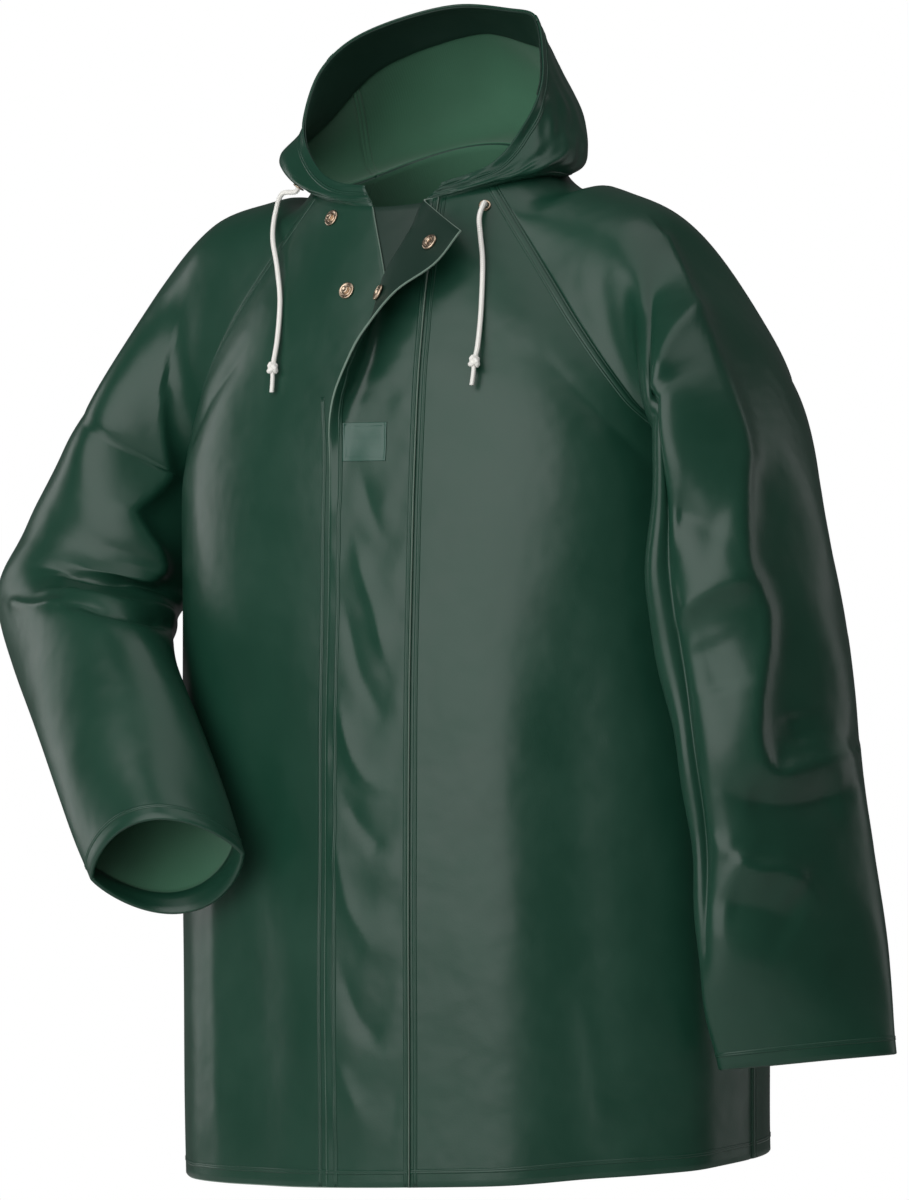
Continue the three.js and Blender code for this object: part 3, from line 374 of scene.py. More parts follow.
def read(table, at):
    """The columns of a table at any value of its first one, on a smooth curve through its rows."""
    keys = table[:, 0]
    held = np.clip(np.asarray(at, float), keys[0], keys[-1])
    last = len(keys) - 1
    i = np.clip(np.searchsorted(keys, held, side="right") - 1, 0, last - 1)
    before = np.maximum(i - 1, 0)
    after = np.minimum(i + 2, last)
    span = (keys[i + 1] - keys[i])[..., None]
    t = (held - keys[i])[..., None] / span
    start, end = table[i], table[i + 1]
    leave = (end - table[before]) / (keys[i + 1] - keys[before])[..., None] * span
    arrive = (table[after] - start) / (keys[after] - keys[i])[..., None] * span
    found = (start + t * leave + t * t * (3 * (end - start) - 2 * leave - arrive)
             + t ** 3 * (2 * (start - end) + leave + arrive))
    return np.moveaxis(found, -1, 0)


def unit(vectors):
    """The vectors at length 1."""
    return vectors / np.maximum(np.linalg.norm(vectors, axis=-1, keepdims=True), 1e-9)


def points_of(*coordinates):
    """Points from their x, y and z, which may be arrays of one shape or single values."""
    return np.stack(np.broadcast_arrays(*coordinates), axis=-1)


def run_along(path):
    """The length of a path from its start to each of its points."""
    return np.concatenate([[0], np.cumsum(np.linalg.norm(np.diff(path, axis=0), axis=1))])


def at_lengths(lengths, run, path):
    """The points of a path, or its normals, at lengths from its start."""
    return np.stack([np.interp(lengths, run, path[:, k]) for k in range(3)], axis=-1)


def rounded(places):
    """The places with each corner cut twice, so that a fold bends rather than kinks."""
    for _ in range(2):
        near, far = mix(places[:-1], places[1:], 0.25), mix(places[:-1], places[1:], 0.75)
        places = np.concatenate([places[:1], np.stack([near, far], axis=1).reshape(-1, 2), places[-1:]])
    return places


def fold_rise(folds, u, v, u_scale, v_scale):
    """How far folds lift the cloth at places (u, v), which the scales turn to millimetres.

    Each is steeper on its lee side and dies out at its ends."""
    total = np.zeros(np.broadcast(u, v).shape)
    for places, width, lee, rise in folds:
        at = rounded(np.array([(a * u_scale, b * v_scale) for a, b in places], float))
        lengths = np.linalg.norm(np.diff(at, axis=0), axis=1)
        run = run_along(at)
        nearest = np.full(total.shape, np.inf)
        along = np.zeros(total.shape)
        side = np.ones(total.shape)
        for i, length in enumerate(lengths):
            step = at[i + 1] - at[i]
            du, dv = u * u_scale - at[i, 0], v * v_scale - at[i, 1]
            share = np.clip((du * step[0] + dv * step[1]) / length ** 2, 0, 1)
            away = np.hypot(du - share * step[0], dv - share * step[1])
            closer = away < nearest
            nearest = np.where(closer, away, nearest)
            along = np.where(closer, (run[i] + share * length) / run[-1], along)
            side = np.where(closer, step[0] * dv - step[1] * du, side)
        half = np.where(side > 0, width, width * lee)
        shape = np.exp(-np.abs(nearest / half) ** FOLD_CREST)
        fade = mix(FOLD_LEFT, 1, smooth(along / FOLD_ENDS) * smooth((1 - along) / FOLD_ENDS))
        total += rise * shape * fade
    return total


def unevenness(u, v, rise, wavelength, seed, waves=7):
    """A soft irregular lift with no repeat, of about the rise, over places in millimetres."""
    random = np.random.default_rng(seed)
    total = np.zeros(np.broadcast(u, v).shape)
    for _ in range(waves):
        angle, phase = random.uniform(0, 2 * math.pi, 2)
        length = wavelength * random.uniform(0.7, 1.5)
        total += np.cos(2 * math.pi / length * (u * math.cos(angle) + v * math.sin(angle)) + phase)
    return rise * (total / math.sqrt(waves))


def grid_normals(grid, closed_from=None):
    """Outward normals: across the columns times up the rows. From the row closed_from a row's ends meet."""
    rows = len(grid)
    closed_from = rows if closed_from is None else closed_from
    across = np.empty_like(grid)
    across[:, 1:-1] = grid[:, 2:] - grid[:, :-2]
    across[:, 0] = grid[:, 1] - grid[:, 0]
    across[:, -1] = grid[:, -1] - grid[:, -2]
    if closed_from < rows:
        joined = grid[closed_from:, 1] - grid[closed_from:, -2]
        across[closed_from:, 0] = joined
        across[closed_from:, -1] = joined
    up = np.gradient(grid, axis=0)
    return unit(np.cross(across, up))


def perimeters(rows, columns, closed_from):
    """The grid's free edges as loops of (row, column), in the direction of the outer face's own edges."""
    if closed_from >= rows:
        loop = [(0, c) for c in range(columns - 1)]
        loop += [(r, columns - 1) for r in range(rows - 1)]
        loop += [(rows - 1, c) for c in range(columns - 1, 0, -1)]
        loop += [(r, 0) for r in range(rows - 1, 0, -1)]
        return [loop]
    top = [(rows - 1, c) for c in range(columns - 2, -1, -1)]
    if closed_from == 0:
        return [[(0, c) for c in range(columns - 1)], top]
    loop = [(0, c) for c in range(columns)]
    loop += [(r, columns - 1) for r in range(1, closed_from)]
    loop += [(r, 0) for r in range(closed_from, 0, -1)]
    return [loop, top]


def new_piece(name, points, faces, materials, looks=None):
    """A smooth object from points in metres. Looks holds the number of each face's material."""
    mesh = bpy.data.meshes.new(name)
    mesh.from_pydata(points, [], faces)
    for material in materials:
        mesh.materials.append(material)
    if looks is not None:
        mesh.polygons.foreach_set("material_index", looks.astype(np.int32))
    mesh.polygons.foreach_set("use_smooth", np.ones(len(faces), bool))
    mesh.update()
    piece = bpy.data.objects.new(name, mesh)
    bpy.context.scene.collection.objects.link(piece)
    return piece


def shell(name, grid, normals, thickness, materials, closed_from=None, lip=0.6, turned=None):
    """A closed wall of cloth. Its outer face is the grid, its inner one lies below, and its edges are round.

    Lip is how far the round edge reaches out, as a share of half the thickness. A third material goes on the
    cut edges. Rows marked in turned show the outer finish inside too."""
    rows, columns = grid.shape[:2]
    closed_from = rows if closed_from is None else closed_from
    thickness = np.broadcast_to(thickness, (rows, columns))
    inner = grid - normals * thickness[..., None]
    points = [grid.reshape(-1, 3), inner.reshape(-1, 3)]
    count = rows * columns
    index = np.arange(count).reshape(rows, columns)
    index[closed_from:, -1] = index[closed_from:, 0]
    corners = [index[:-1, :-1], index[:-1, 1:], index[1:, 1:], index[1:, :-1]]
    outer_faces = np.stack(corners, axis=-1).reshape(-1, 4)
    faces = [outer_faces, outer_faces[:, ::-1] + count]
    inner_look = np.ones((rows - 1, columns - 1), int)
    if turned is not None:
        inner_look[turned[:-1] & turned[1:]] = 0
    looks = [np.zeros(len(outer_faces), int), inner_look.ravel()]
    edge_look = 2 if len(materials) > 2 else 0
    total = 2 * count
    for loop in perimeters(rows, columns, closed_from):
        r, c = np.array(loop).T
        inside_r = np.clip(r, 1, rows - 2)
        inside_c = np.where(r >= closed_from, c, np.clip(c, 1, columns - 2))
        middle = (grid[r, c] + inner[r, c]) / 2
        away = unit(grid[r, c] - grid[inside_r, inside_c])
        half = (grid[r, c] - inner[r, c]) / 2
        reach = np.linalg.norm(half, axis=1)[:, None] * lip
        rings = [index[r, c]]
        for angle in (0.25, 0.5, 0.75):
            turn = math.pi * angle
            points.append(middle + half * math.cos(turn) + away * reach * math.sin(turn))
            rings.append(total + np.arange(len(r)))
            total += len(r)
        rings.append(index[r, c] + count)
        for near, far in zip(rings[:-1], rings[1:]):
            faces.append(np.stack([np.roll(near, -1), near, far, np.roll(far, -1)], axis=-1))
            looks.append(np.full(len(r), edge_look))
    points, faces = np.concatenate(points), np.concatenate(faces)
    used = np.unique(faces)
    renumber = np.full(len(points), -1)
    renumber[used] = np.arange(len(used))
    places = (points[used] * MM).tolist()
    return new_piece(name, places, renumber[faces].tolist(), materials, np.concatenate(looks))


def carry(piece, slot, *nodes):
    """The piece rides on the coat's only body and stands for the nodes. The slot is not used."""
    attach(piece, "root")
    if nodes:
        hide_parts(*nodes)
    return piece


PANELS = {}  # name of each wall of cloth: its grid and normals, for what is welded on it


def cloth_piece(name, grid, thickness, materials, slot="coated_cloth", closed_from=None, turned=None):
    """A panel's wall of cloth, which stands for the solid of the same name."""
    normals = grid_normals(grid, closed_from)
    PANELS[name] = (grid, normals)
    wall = shell(f"cloth_{name}", grid, normals, thickness, materials, closed_from, turned=turned)
    return carry(wall, slot, name)


# The body's surface

def body_rise(level, degrees):
    """Waves, folds and the cloth's own unevenness, in millimetres outwards. All fade towards the neck."""
    round_from_front = np.mod(degrees, 360)
    total = np.zeros(level.shape)
    for at, spread, rise, high in WAVES:
        off = np.abs(round_from_front - at % 360)
        apart = np.minimum(off, 360 - off) / spread
        total += rise * np.exp(-apart ** 2) * smooth((high - level) / FADING)
    turned = np.where(round_from_front > 270, round_from_front - 360, round_from_front)
    folds = fold_rise(BODY_FOLDS, level, turned, LEVEL_HEIGHT, DEGREE_WIDTH)
    total += folds * smooth((FOLDS_TOP - level) / FADING)
    across = np.sin(np.radians(degrees)) * BODY_HALF_WIDTH
    uneven = unevenness(level * LEVEL_HEIGHT, across, *BODY_UNEVEN)
    return total + uneven * smooth((UNEVEN_TOP - level) / FADING)


def body_point(level, degrees):
    """A point of the body at a level, degrees round from the middle of the front to the wearer's left."""
    level, degrees = np.broadcast_arrays(np.asarray(level, float), np.asarray(degrees, float))
    _, front, side, back, tilt, mid_x, mid_y, half_x, half_y, square = read(BODY, level)
    s, c = np.sin(np.radians(degrees)), np.cos(np.radians(degrees))
    x = mid_x + half_x * np.sign(s) * np.abs(s) ** square
    y = mid_y - half_y * np.sign(c) * np.abs(c) ** square
    z = mix(side, np.where(c > 0, front, back), c * c) + tilt * x
    out = unit(points_of(x - mid_x, y - mid_y, np.zeros(level.shape)))
    return points_of(x, y, z) + out * body_rise(level, degrees)[..., None]


def front_degrees(level, x):
    """The degrees at which the front of the body reaches x."""
    _, _, _, _, _, mid_x, _, half_x, _, square = read(BODY, level)
    share = (x - mid_x) / half_x
    return np.degrees(np.sign(share) * np.arcsin(np.minimum(np.abs(share), 1) ** (1 / square)))


def body_normal(level, degrees):
    """The direction that the body's cloth faces."""
    level = np.asarray(level, float)
    across = body_point(level, degrees + 0.5) - body_point(level, degrees - 0.5)
    low, high = np.maximum(level - 0.05, 0), np.minimum(level + 0.05, NECK)
    return unit(np.cross(across, body_point(high, degrees) - body_point(low, degrees)))


def seam_degrees(side, column, level):
    """Where a side seam, and the raglan seam above it, stands at a level. Side is 1 on the wearer's left."""
    level = np.asarray(level, float)
    return side * np.where(level <= ARMPIT, 90, read(RAGLAN, level)[column])


def body_levels():
    """Rows of the body's panels, closer at the hem, where the turned cloth ends in a step."""
    hem = in_mm(sizes().hem) / LEVEL_HEIGHT
    rows = [np.array([0, hem / 3, 2 * hem / 3, hem - 0.003, hem + 0.003])]
    for level, height in enumerate(np.diff(BODY[:, 1])):
        count = math.ceil(height / in_mm(sizes().step))
        rows.append(level + (np.arange(count) + 1) / count)
    return np.unique(np.concatenate(rows))


def columns_between(start, end, width):
    """A grid of degrees between two edges that change with the level."""
    count = math.ceil(width / in_mm(sizes().step))
    return mix(start[:, None], end[:, None], np.linspace(0, 1, count + 1)[None, :])


def in_hem(levels):
    """Which rows of the body lie in its turned hem."""
    return levels < in_mm(sizes().hem) / LEVEL_HEIGHT


def hem_thickness(turned):
    """The cloth's thickness on each row, doubled where a hem is turned in."""
    return np.where(turned, in_mm(sizes().hem_cloth), in_mm(sizes().cloth))[:, None]


def make_body(materials):
    """The back and the two fronts, each with its turned hem. The right front's cut edge shows its knit."""
    levels = body_levels()
    turned = in_hem(levels)
    _, weld, free = read(CLOSURE, levels)
    edges = {
        "back": (seam_degrees(1, 3, levels), 360 + seam_degrees(-1, 3, levels)),
        "front_right": (seam_degrees(-1, 2, levels), front_degrees(levels, free)),
        "front_left": (front_degrees(levels, weld - WELD_MARGIN), seam_degrees(1, 1, levels)),
    }
    for name, (start, end) in edges.items():
        grid = body_point(levels[:, None], columns_between(start, end, PANEL_WIDTHS[name]))
        looks = materials if name == "front_right" else materials[:2]
        cloth_piece(name, grid, hem_thickness(turned), looks, turned=turned)


# The sleeves

def cuff_hem():
    """The station at which a cuff's turned hem begins."""
    return CUFF - in_mm(sizes().hem) / CUFF_STATION_LENGTH


def sleeve_stations():
    """Rows from the neck to the cuff, closer at its hem, and how many are open at the raglan seams."""
    step = in_mm(sizes().fine_step)
    raglan_rows = math.ceil(-SHOULDER * RAGLAN_STATION_LENGTH / step)
    arm_rows = math.ceil(CUFF * STATION_LENGTH / step)
    arm = np.linspace(0, CUFF, arm_rows + 1)[1:]
    hem = cuff_hem()
    arm = np.sort(np.concatenate([arm[np.abs(arm - hem) > 0.02], [hem - 0.005, hem + 0.005]]))
    return np.concatenate([np.linspace(SHOULDER, 0, raglan_rows + 1), arm]), raglan_rows


def sleeve_shape(table, side, stations, turn):
    """The sleeve without folds: an arch between its raglan seams down to the armpit, then a tube."""
    station = stations[:, None]
    row = read(table, stations)
    under, over, deep = (np.moveaxis(row[i:i + 3], 0, -1)[:, None, :] for i in (1, 4, 7))
    bulge = row[10][:, None]
    level = ARMPIT - np.minimum(stations, 0)
    front_at = seam_degrees(side, 1 if side > 0 else 2, level)
    back_at = seam_degrees(side, 3, level)
    front, rear = body_point(level, front_at), body_point(level, back_at)
    is_open = (stations <= 0)[:, None, None]
    under = np.where(is_open, ((front + rear) / 2)[:, None, :], under)
    half = np.where(is_open, ((front - rear) / 2)[:, None, :], 0)
    arch = np.maximum(np.sin(np.pi * turn), 0)
    rise = arch ** bulge
    pinched = (arch * math.sqrt(2)) ** smooth(1 - station / 1.5)
    wave = np.sin(2 * np.pi * turn)
    # The wearer's right cuff is pressed to an oval with two points.
    pointed = np.abs(wave) ** (0.55 * smooth((station - 4.6) / 1.2) * (side < 0))
    grid = (under + half * np.cos(np.pi * turn)[..., None] + (over - under) * rise[..., None]
            + deep * (wave * pinched * pointed)[..., None])
    ring = body_point(level[:, None], mix(front_at[:, None], back_at[:, None], turn))
    to_ring = smooth((-3.3 - station) / 0.7)
    return mix(grid, ring, to_ring[..., None])


def sleeve_grid(table, folds, side, uneven):
    """Columns run so that the outward normal is theirs crossed with the rows from neck to cuff."""
    stations, raglan_rows = sleeve_stations()
    count = math.ceil(SLEEVE_GIRTH / in_mm(sizes().fine_step))
    share = np.linspace(0, 1, count + 1)[None, :]
    turn = 1 - share if side > 0 else share
    grid = sleeve_shape(table, side, stations, turn)
    station = stations[:, None]
    # Folds die out at the raglan seams, towards the shoulder and at the cuff.
    from_seam = np.where(station < 0, np.minimum(turn, 1 - turn), 1)
    held = smooth(from_seam / 0.12) * smooth((station + 2.4) / 0.8) * smooth((CUFF - station) / 0.5)
    lift = fold_rise(folds, station, turn, STATION_LENGTH, SLEEVE_GIRTH)
    across = np.sin(2 * np.pi * turn) * SLEEVE_GIRTH / (2 * np.pi)
    deep = np.cos(2 * np.pi * turn) * SLEEVE_GIRTH / (2 * np.pi)
    lift = lift + unevenness(station * STATION_LENGTH + across, deep, *uneven)
    return grid + grid_normals(grid, raglan_rows) * (lift * held)[..., None], stations, raglan_rows


def make_sleeves(materials):
    """Two raglan sleeves, the right one bent at the elbow, with turned hems at the cuffs."""
    for name, table, folds, side, uneven in (
            ("sleeve_left", LEFT_SLEEVE, LEFT_FOLDS, 1, LEFT_UNEVEN),
            ("sleeve_right", RIGHT_SLEEVE, RIGHT_FOLDS, -1, RIGHT_UNEVEN)):
        grid, stations, raglan_rows = sleeve_grid(table, folds, side, uneven)
        turned = stations > cuff_hem()
        cloth_piece(name, grid, hem_thickness(turned), materials, closed_from=raglan_rows, turned=turned)


# The front closure

def flap_point(levels, distances):
    """Walks across the flap from its weld, turning each step about the leaning line of its bend."""
    steps = np.arange(0, FLAP_WIDTH + 1.5, 1.0)
    level, s = np.meshgrid(levels, steps, indexing="ij")
    weld = read(CLOSURE, level)[1]
    degrees = front_degrees(level, weld - s)
    lift = in_mm(sizes().layer_gap) + FLAP_DEPTH
    lie = body_point(level, degrees) + body_normal(level, degrees) * lift
    _, start, over, turn, lean = read(PEEL, level[:, 1:])
    middle = (s[:, 1:] + s[:, :-1]) / 2
    angle = np.radians(np.maximum(turn, 0)) * smooth((middle - start) / over)
    step = np.diff(lie, axis=1)
    axis = unit(points_of(lean, np.zeros(lean.shape), np.ones(lean.shape)))
    c, sn = np.cos(angle)[..., None], np.sin(angle)[..., None]
    along = (step * axis).sum(-1, keepdims=True)
    step = step * c + np.cross(axis, step) * sn + axis * along * (1 - c)
    walked = np.concatenate([lie[:, :1], lie[:, :1] + np.cumsum(step, axis=1)], axis=1)
    whole = np.floor(distances).astype(int)
    part = (distances - whole)[None, :, None]
    return mix(walked[:, whole], walked[:, whole + 1], part)


def make_closure(materials, facing_materials):
    """The storm flap over the right front's edge, and the placket behind it."""
    levels = body_levels()
    distances = np.linspace(FLAP_WIDTH, 0, FLAP_COLUMNS)
    grid = flap_point(levels, distances)
    heights = levels[:, None] * FLAP_LEVEL_HEIGHT
    lift = fold_rise(FLAP_FOLDS, levels[:, None], distances[None, :], FLAP_LEVEL_HEIGHT, 1)
    lift = lift + unevenness(heights, distances[None, :], *FLAP_UNEVEN)
    # Folds die out 14 mm from the weld and 8 mm from the free edge.
    held = smooth(distances / 14) * smooth((FLAP_WIDTH - distances) / 8)
    grid = grid + grid_normals(grid) * (lift * held[None, :])[..., None]
    cloth_piece("storm_flap", grid, in_mm(sizes().cloth), materials)

    weld_x = read(CLOSURE, levels)[1][:, None]
    across = np.linspace(*PLACKET_REACH, PLACKET_COLUMNS)[None, :]
    degrees = front_degrees(levels[:, None], weld_x - across)
    depth = hem_thickness(in_hem(levels))[..., None] + in_mm(sizes().layer_gap)
    grid = body_point(levels[:, None], degrees) - body_normal(levels[:, None], degrees) * depth
    cloth_piece("fly_placket", grid, in_mm(sizes().cloth), facing_materials, "facing_cloth")


# The hood

def hood_point(along, up):
    """A point of the hood, along its front edge from the wearer's right and up from the neck seam to it."""
    along, up = np.broadcast_arrays(np.asarray(along, float), np.asarray(up, float))
    row = np.moveaxis(read(HOOD, along), 0, -1)
    _, weld, free = read(CLOSURE, NECK)
    right = front_degrees(NECK, free)
    left = front_degrees(NECK, weld - WELD_MARGIN)
    neck = body_point(np.full(along.shape, float(NECK)), mix(right, left - 360, along))
    neck = neck - (0, 0, HOOD_DROP)
    rim = row[..., 1:4]
    leave, arrive = neck + row[..., 4:7], rim + row[..., 7:10]
    up = up[..., None]
    down = 1 - up
    return neck * down ** 3 + leave * 3 * down * down * up + arrive * 3 * down * up * up + rim * up ** 3


def hood_grid(start, end, width=None):
    """Part of the hood between shares counted from the wearer's left, or only a width inside its edge."""
    step = in_mm(sizes().fine_step)
    columns = math.ceil((end - start) * HOOD_LENGTH / step)
    rows = math.ceil((width or HOOD_DEPTH) / step)
    along = 1 - np.linspace(start, end, columns + 1)[None, :]
    up = np.linspace(0, 1, rows + 1)[:, None]
    if width:
        deep = np.linalg.norm(np.diff(hood_point(along, up), axis=0), axis=-1).sum(0)
        up = 1 - np.minimum(width / deep, 0.8)[None, :] * (1 - up)
    grid = hood_point(along, up)
    crinkle = sum(unevenness(along * HOOD_LENGTH, up * HOOD_DEPTH, *uneven) for uneven in HOOD_UNEVEN)
    # The crinkles die out at the neck and the front edge, and are softer on the wearer's right.
    held = smooth(up / 0.25) * smooth((1 - up) / 0.1) * mix(0.25, 1, smooth((along - 0.35) / 0.3))
    return grid + grid_normals(grid) * (crinkle * held)[..., None]


def make_hood(materials, facing_materials):
    """Three panels with the seams between them, and the coated facing inside the front edge."""
    shares = (0, *HOOD_SEAMS, 1)
    for name, start, end in zip(("hood_left", "hood_middle", "hood_right"), shares[:-1], shares[1:]):
        cloth_piece(name, hood_grid(start, end), in_mm(sizes().cloth), materials)
    grid = hood_grid(FACING_START, FACING_END, FACING_WIDTH)
    grid = grid - grid_normals(grid) * (in_mm(sizes().cloth) + in_mm(sizes().layer_gap))
    cloth_piece("hood_facing", grid, FACING_CLOTH, facing_materials, "facing_cloth")


# Welded seams

# Sections of the welds and tapes: distance from the seam and height over the cloth
DOUBLE_WELD = [(0.2, 0.1), (0.9, 0.6), (1.7, 0.65), (2.1, 0.1), (2.5, 0.65), (4.6, 0.7), (6.9, 0.65),
               (7.3, 0.1), (7.7, 0.65), (8.6, 0.6), (9.4, 0.05)]
TAPE = [(0.1, 0.1), (0.4, 0.9), (3.0, 1.0), (3.6, 0.2), (4.2, 1.0), (7.4, 0.9), (8.0, 0.1)]
SINGLE_WELD = [(-1.9, 0.05), (-1.0, 0.5), (-0.4, 0.4), (0, 0.05), (0.4, 0.4), (1.0, 0.5), (1.9, 0.05)]
WELD_ROOT = 0.35  # how far they reach into the cloth
HEM_INSET = 12  # of the single weld that holds a turned hem

# Single welds on the fronts, back and flap: the panel, its edge, how far in and for what share of it
SINGLE_WELDS = {
    "hem_weld_back": ("back", "bottom", HEM_INSET, 1),
    "hem_weld_flap": ("storm_flap", "bottom", HEM_INSET, 1),
    "flap_weld": ("storm_flap", "last", 2.4, 1),
    "flap_second_weld": ("front_left", "first", 15, 1),
    "right_front_weld": ("front_right", "last", 70, 0.8),
    "flap_edge_weld": ("storm_flap", "first", 9, 1),
}


def from_edge(panel_name, edge):
    """The panel's grid and normals with axis 1 running inwards from one of its edges."""
    grid, normals = PANELS[panel_name]
    if edge in ("bottom", "top"):
        grid, normals = grid.swapaxes(0, 1), normals.swapaxes(0, 1)
    if edge in ("last", "top"):
        grid, normals = grid[:, ::-1], normals[:, ::-1]
    return grid, normals


def weld(name, panel_name, edge, profile, material, inset=0, start=0, end=1, closed=False, inside=False):
    """A narrow band along one of a panel's edges, on its outer or inner face, inset from that edge.

    It runs between two shares of the edge, and a closed one goes round a sleeve."""
    grid, normals = from_edge(panel_name, edge)
    if inside:
        grid, normals = grid - normals * in_mm(sizes().cloth), -normals
    last = len(grid) - 1
    offsets = np.array([distance + inset for distance, _ in profile])
    heights = np.array([height for _, height in profile])
    places, outs = [], []
    for i in range(round(start * last), round(end * last) + 1):
        run = run_along(grid[i])
        places.append(at_lengths(offsets, run, grid[i]))
        outs.append(at_lengths(offsets, run, normals[i]))
    places, outs = np.array(places), unit(np.array(outs))
    facing = np.cross(np.gradient(places, axis=1), np.gradient(places, axis=0))
    if (facing * outs).sum() < 0:
        places, outs, heights = places[:, ::-1], outs[:, ::-1], heights[::-1]
    places = places + outs * heights[None, :, None]
    thickness = np.broadcast_to(heights[None, :] + WELD_ROOT, places.shape[:2])
    if closed:
        places, outs, thickness = (part.swapaxes(0, 1)[::-1] for part in (places, outs, thickness))
    carry(shell(name, places, outs, thickness, [material], 0 if closed else None, lip=0), "coated_cloth")


def make_welds(coating, backing):
    """Double welds on the main seams, single ones along turned edges, and tapes inside the hood."""
    for side, front_edge, back_edge in (("left", "last", "first"), ("right", "first", "last")):
        front = f"front_{side}"
        armpit = np.searchsorted(body_levels(), ARMPIT) / (len(PANELS[front][0]) - 1)
        weld(f"raglan_weld_front_{side}", front, front_edge, DOUBLE_WELD, coating, start=armpit)
        weld(f"raglan_weld_back_{side}", "back", back_edge, DOUBLE_WELD, coating, start=armpit)
        weld(f"side_weld_{side}", "back", back_edge, DOUBLE_WELD, coating, end=armpit)
        weld(f"hem_weld_front_{side}", front, "bottom", SINGLE_WELD, coating, HEM_INSET)
        weld(f"cuff_weld_{side}", f"sleeve_{side}", "top", SINGLE_WELD, coating, HEM_INSET, closed=True)
    for name, (panel, edge, inset, end) in SINGLE_WELDS.items():
        weld(name, panel, edge, SINGLE_WELD, coating, inset, end=end)
    panels = ("hood_left", "hood_middle", "hood_right")
    for name in panels:
        weld(f"rim_weld_{name}", name, "top", SINGLE_WELD, coating, 8)
        weld(f"neck_weld_{name}", name, "bottom", SINGLE_WELD, coating, 6)
    for name in panels:
        weld(f"neck_tape_{name}", name, "bottom", TAPE, backing, inside=True)
    seams = (("left", "first"), ("right", "last"))
    for side, edge in seams:
        weld(f"hood_tape_{side}", "hood_middle", edge, TAPE, backing, end=0.8, inside=True)
    for side, edge in seams:
        weld(f"hood_seam_{side}", "hood_middle", edge, DOUBLE_WELD, coating)


# Small parts

def turned_part(name, profile, base, axis, material, ring=False):
    """A part turned on an axis from (radius, height) pairs, which start and end on it or close to a ring."""
    sides = 48
    toward = Vector((0, 0, 1)).rotation_difference(Vector(axis))
    base = Vector(base)
    places, faces = [], []
    count = len(profile)
    for i in range(sides):
        angle = 2 * math.pi * i / sides
        for radius, height in profile:
            spot = Vector((radius * math.cos(angle), radius * math.sin(angle), height))
            places.append((toward @ spot + base) * MM)
    for i in range(sides):
        for k in range(count if ring else count - 1):
            near, far = i * count, (i + 1) % sides * count
            corners = [near + k, far + k, far + (k + 1) % count, near + (k + 1) % count]
            if profile[k][0] == 0:
                corners = [k, corners[2], corners[3]]
            elif profile[(k + 1) % count][0] == 0:
                corners = [corners[0], corners[1], (k + 1) % count]
            faces.append(corners)
    used = sorted({corner for face in faces for corner in face})
    renumber = {corner: i for i, corner in enumerate(used)}
    faces = [[renumber[corner] for corner in face] for face in faces]
    return new_piece(name, [places[i] for i in used], faces, [material])


STUD = [(0, -0.2), (6.6, -0.2), (7, 0.2), (7, 0.9), (6.6, 1.3), (6.1, 1.45), (5.4, 1.2), (4.9, 0.8),
        (3.9, 0.7), (3.3, 1.0), (3.1, 1.6), (3.1, 3.1), (3.2, 3.6), (2.8, 4.1), (1.6, 4.2), (0.9, 3.6),
        (0, 3.5)]
SOCKET = [(0, -0.2), (6.6, -0.2), (7, 0.2), (7, 1.0), (6.5, 1.7), (5.9, 2.0), (5.2, 1.9), (4.8, 1.6),
          (4.4, 1.9), (3.6, 2.0), (3.2, 1.7), (3.0, 0.7), (2.2, 0.5), (1.2, 0.9), (0, 0.9)]
EYELET = [(3.2, 0), (5.0, 0), (5.2, 0.3), (5.0, 0.8), (4.4, 1.25), (3.8, 1.3), (3.3, 1.0), (3.2, 0.5)]


def flap_inside(level, distance):
    """The flap's inner face at a level and distance, and the direction that it faces."""
    levels = np.array([level - 0.08, level, level + 0.08])
    grid = flap_point(levels, np.array([distance + 3.0, float(distance), distance - 3.0]))
    inward = -unit(np.cross(grid[1, 2] - grid[1, 0], grid[2, 1] - grid[0, 1]))
    return grid[1, 1] + inward * (FLAP_DEPTH + SOCKET_LIFT), inward


def make_studs(material):
    """Press studs: ring studs on the right front and their sockets on the turned flap."""
    for name, (level, x) in STUDS.items():
        degrees = front_degrees(level, x)
        out = body_normal(level, degrees)
        base = body_point(level, degrees) + out * in_mm(sizes().layer_gap)
        carry(turned_part(f"ring_{name}", STUD, base, out, material), "stud_metal", name)
    for name, (level, distance) in SOCKETS.items():
        base, inward = flap_inside(level, distance)
        carry(turned_part(f"ring_{name}", SOCKET, base, inward, material), "stud_metal", name)


def eyelet_places():
    """Where each eyelet lies and the direction that it faces."""
    along, up = EYELET_RIGHT
    right = hood_point(np.array([along, along + 0.01, along]), np.array([up, up, up + 0.04]))
    level, x = EYELET_LEFT
    degrees = front_degrees(level, x)
    return {
        "right": (right[0], unit(np.cross(right[2] - right[0], right[1] - right[0]))),
        "left": (body_point(level, degrees), body_normal(level, degrees)),
    }


def make_eyelets(material):
    """The plated rings that the drawcord comes out of."""
    for side, (place, out) in eyelet_places().items():
        base = place + out * in_mm(sizes().layer_gap)
        carry(turned_part(f"ring_eyelet_{side}", EYELET, base, out, material, ring=True),
              "stud_metal", f"eyelet_{side}")


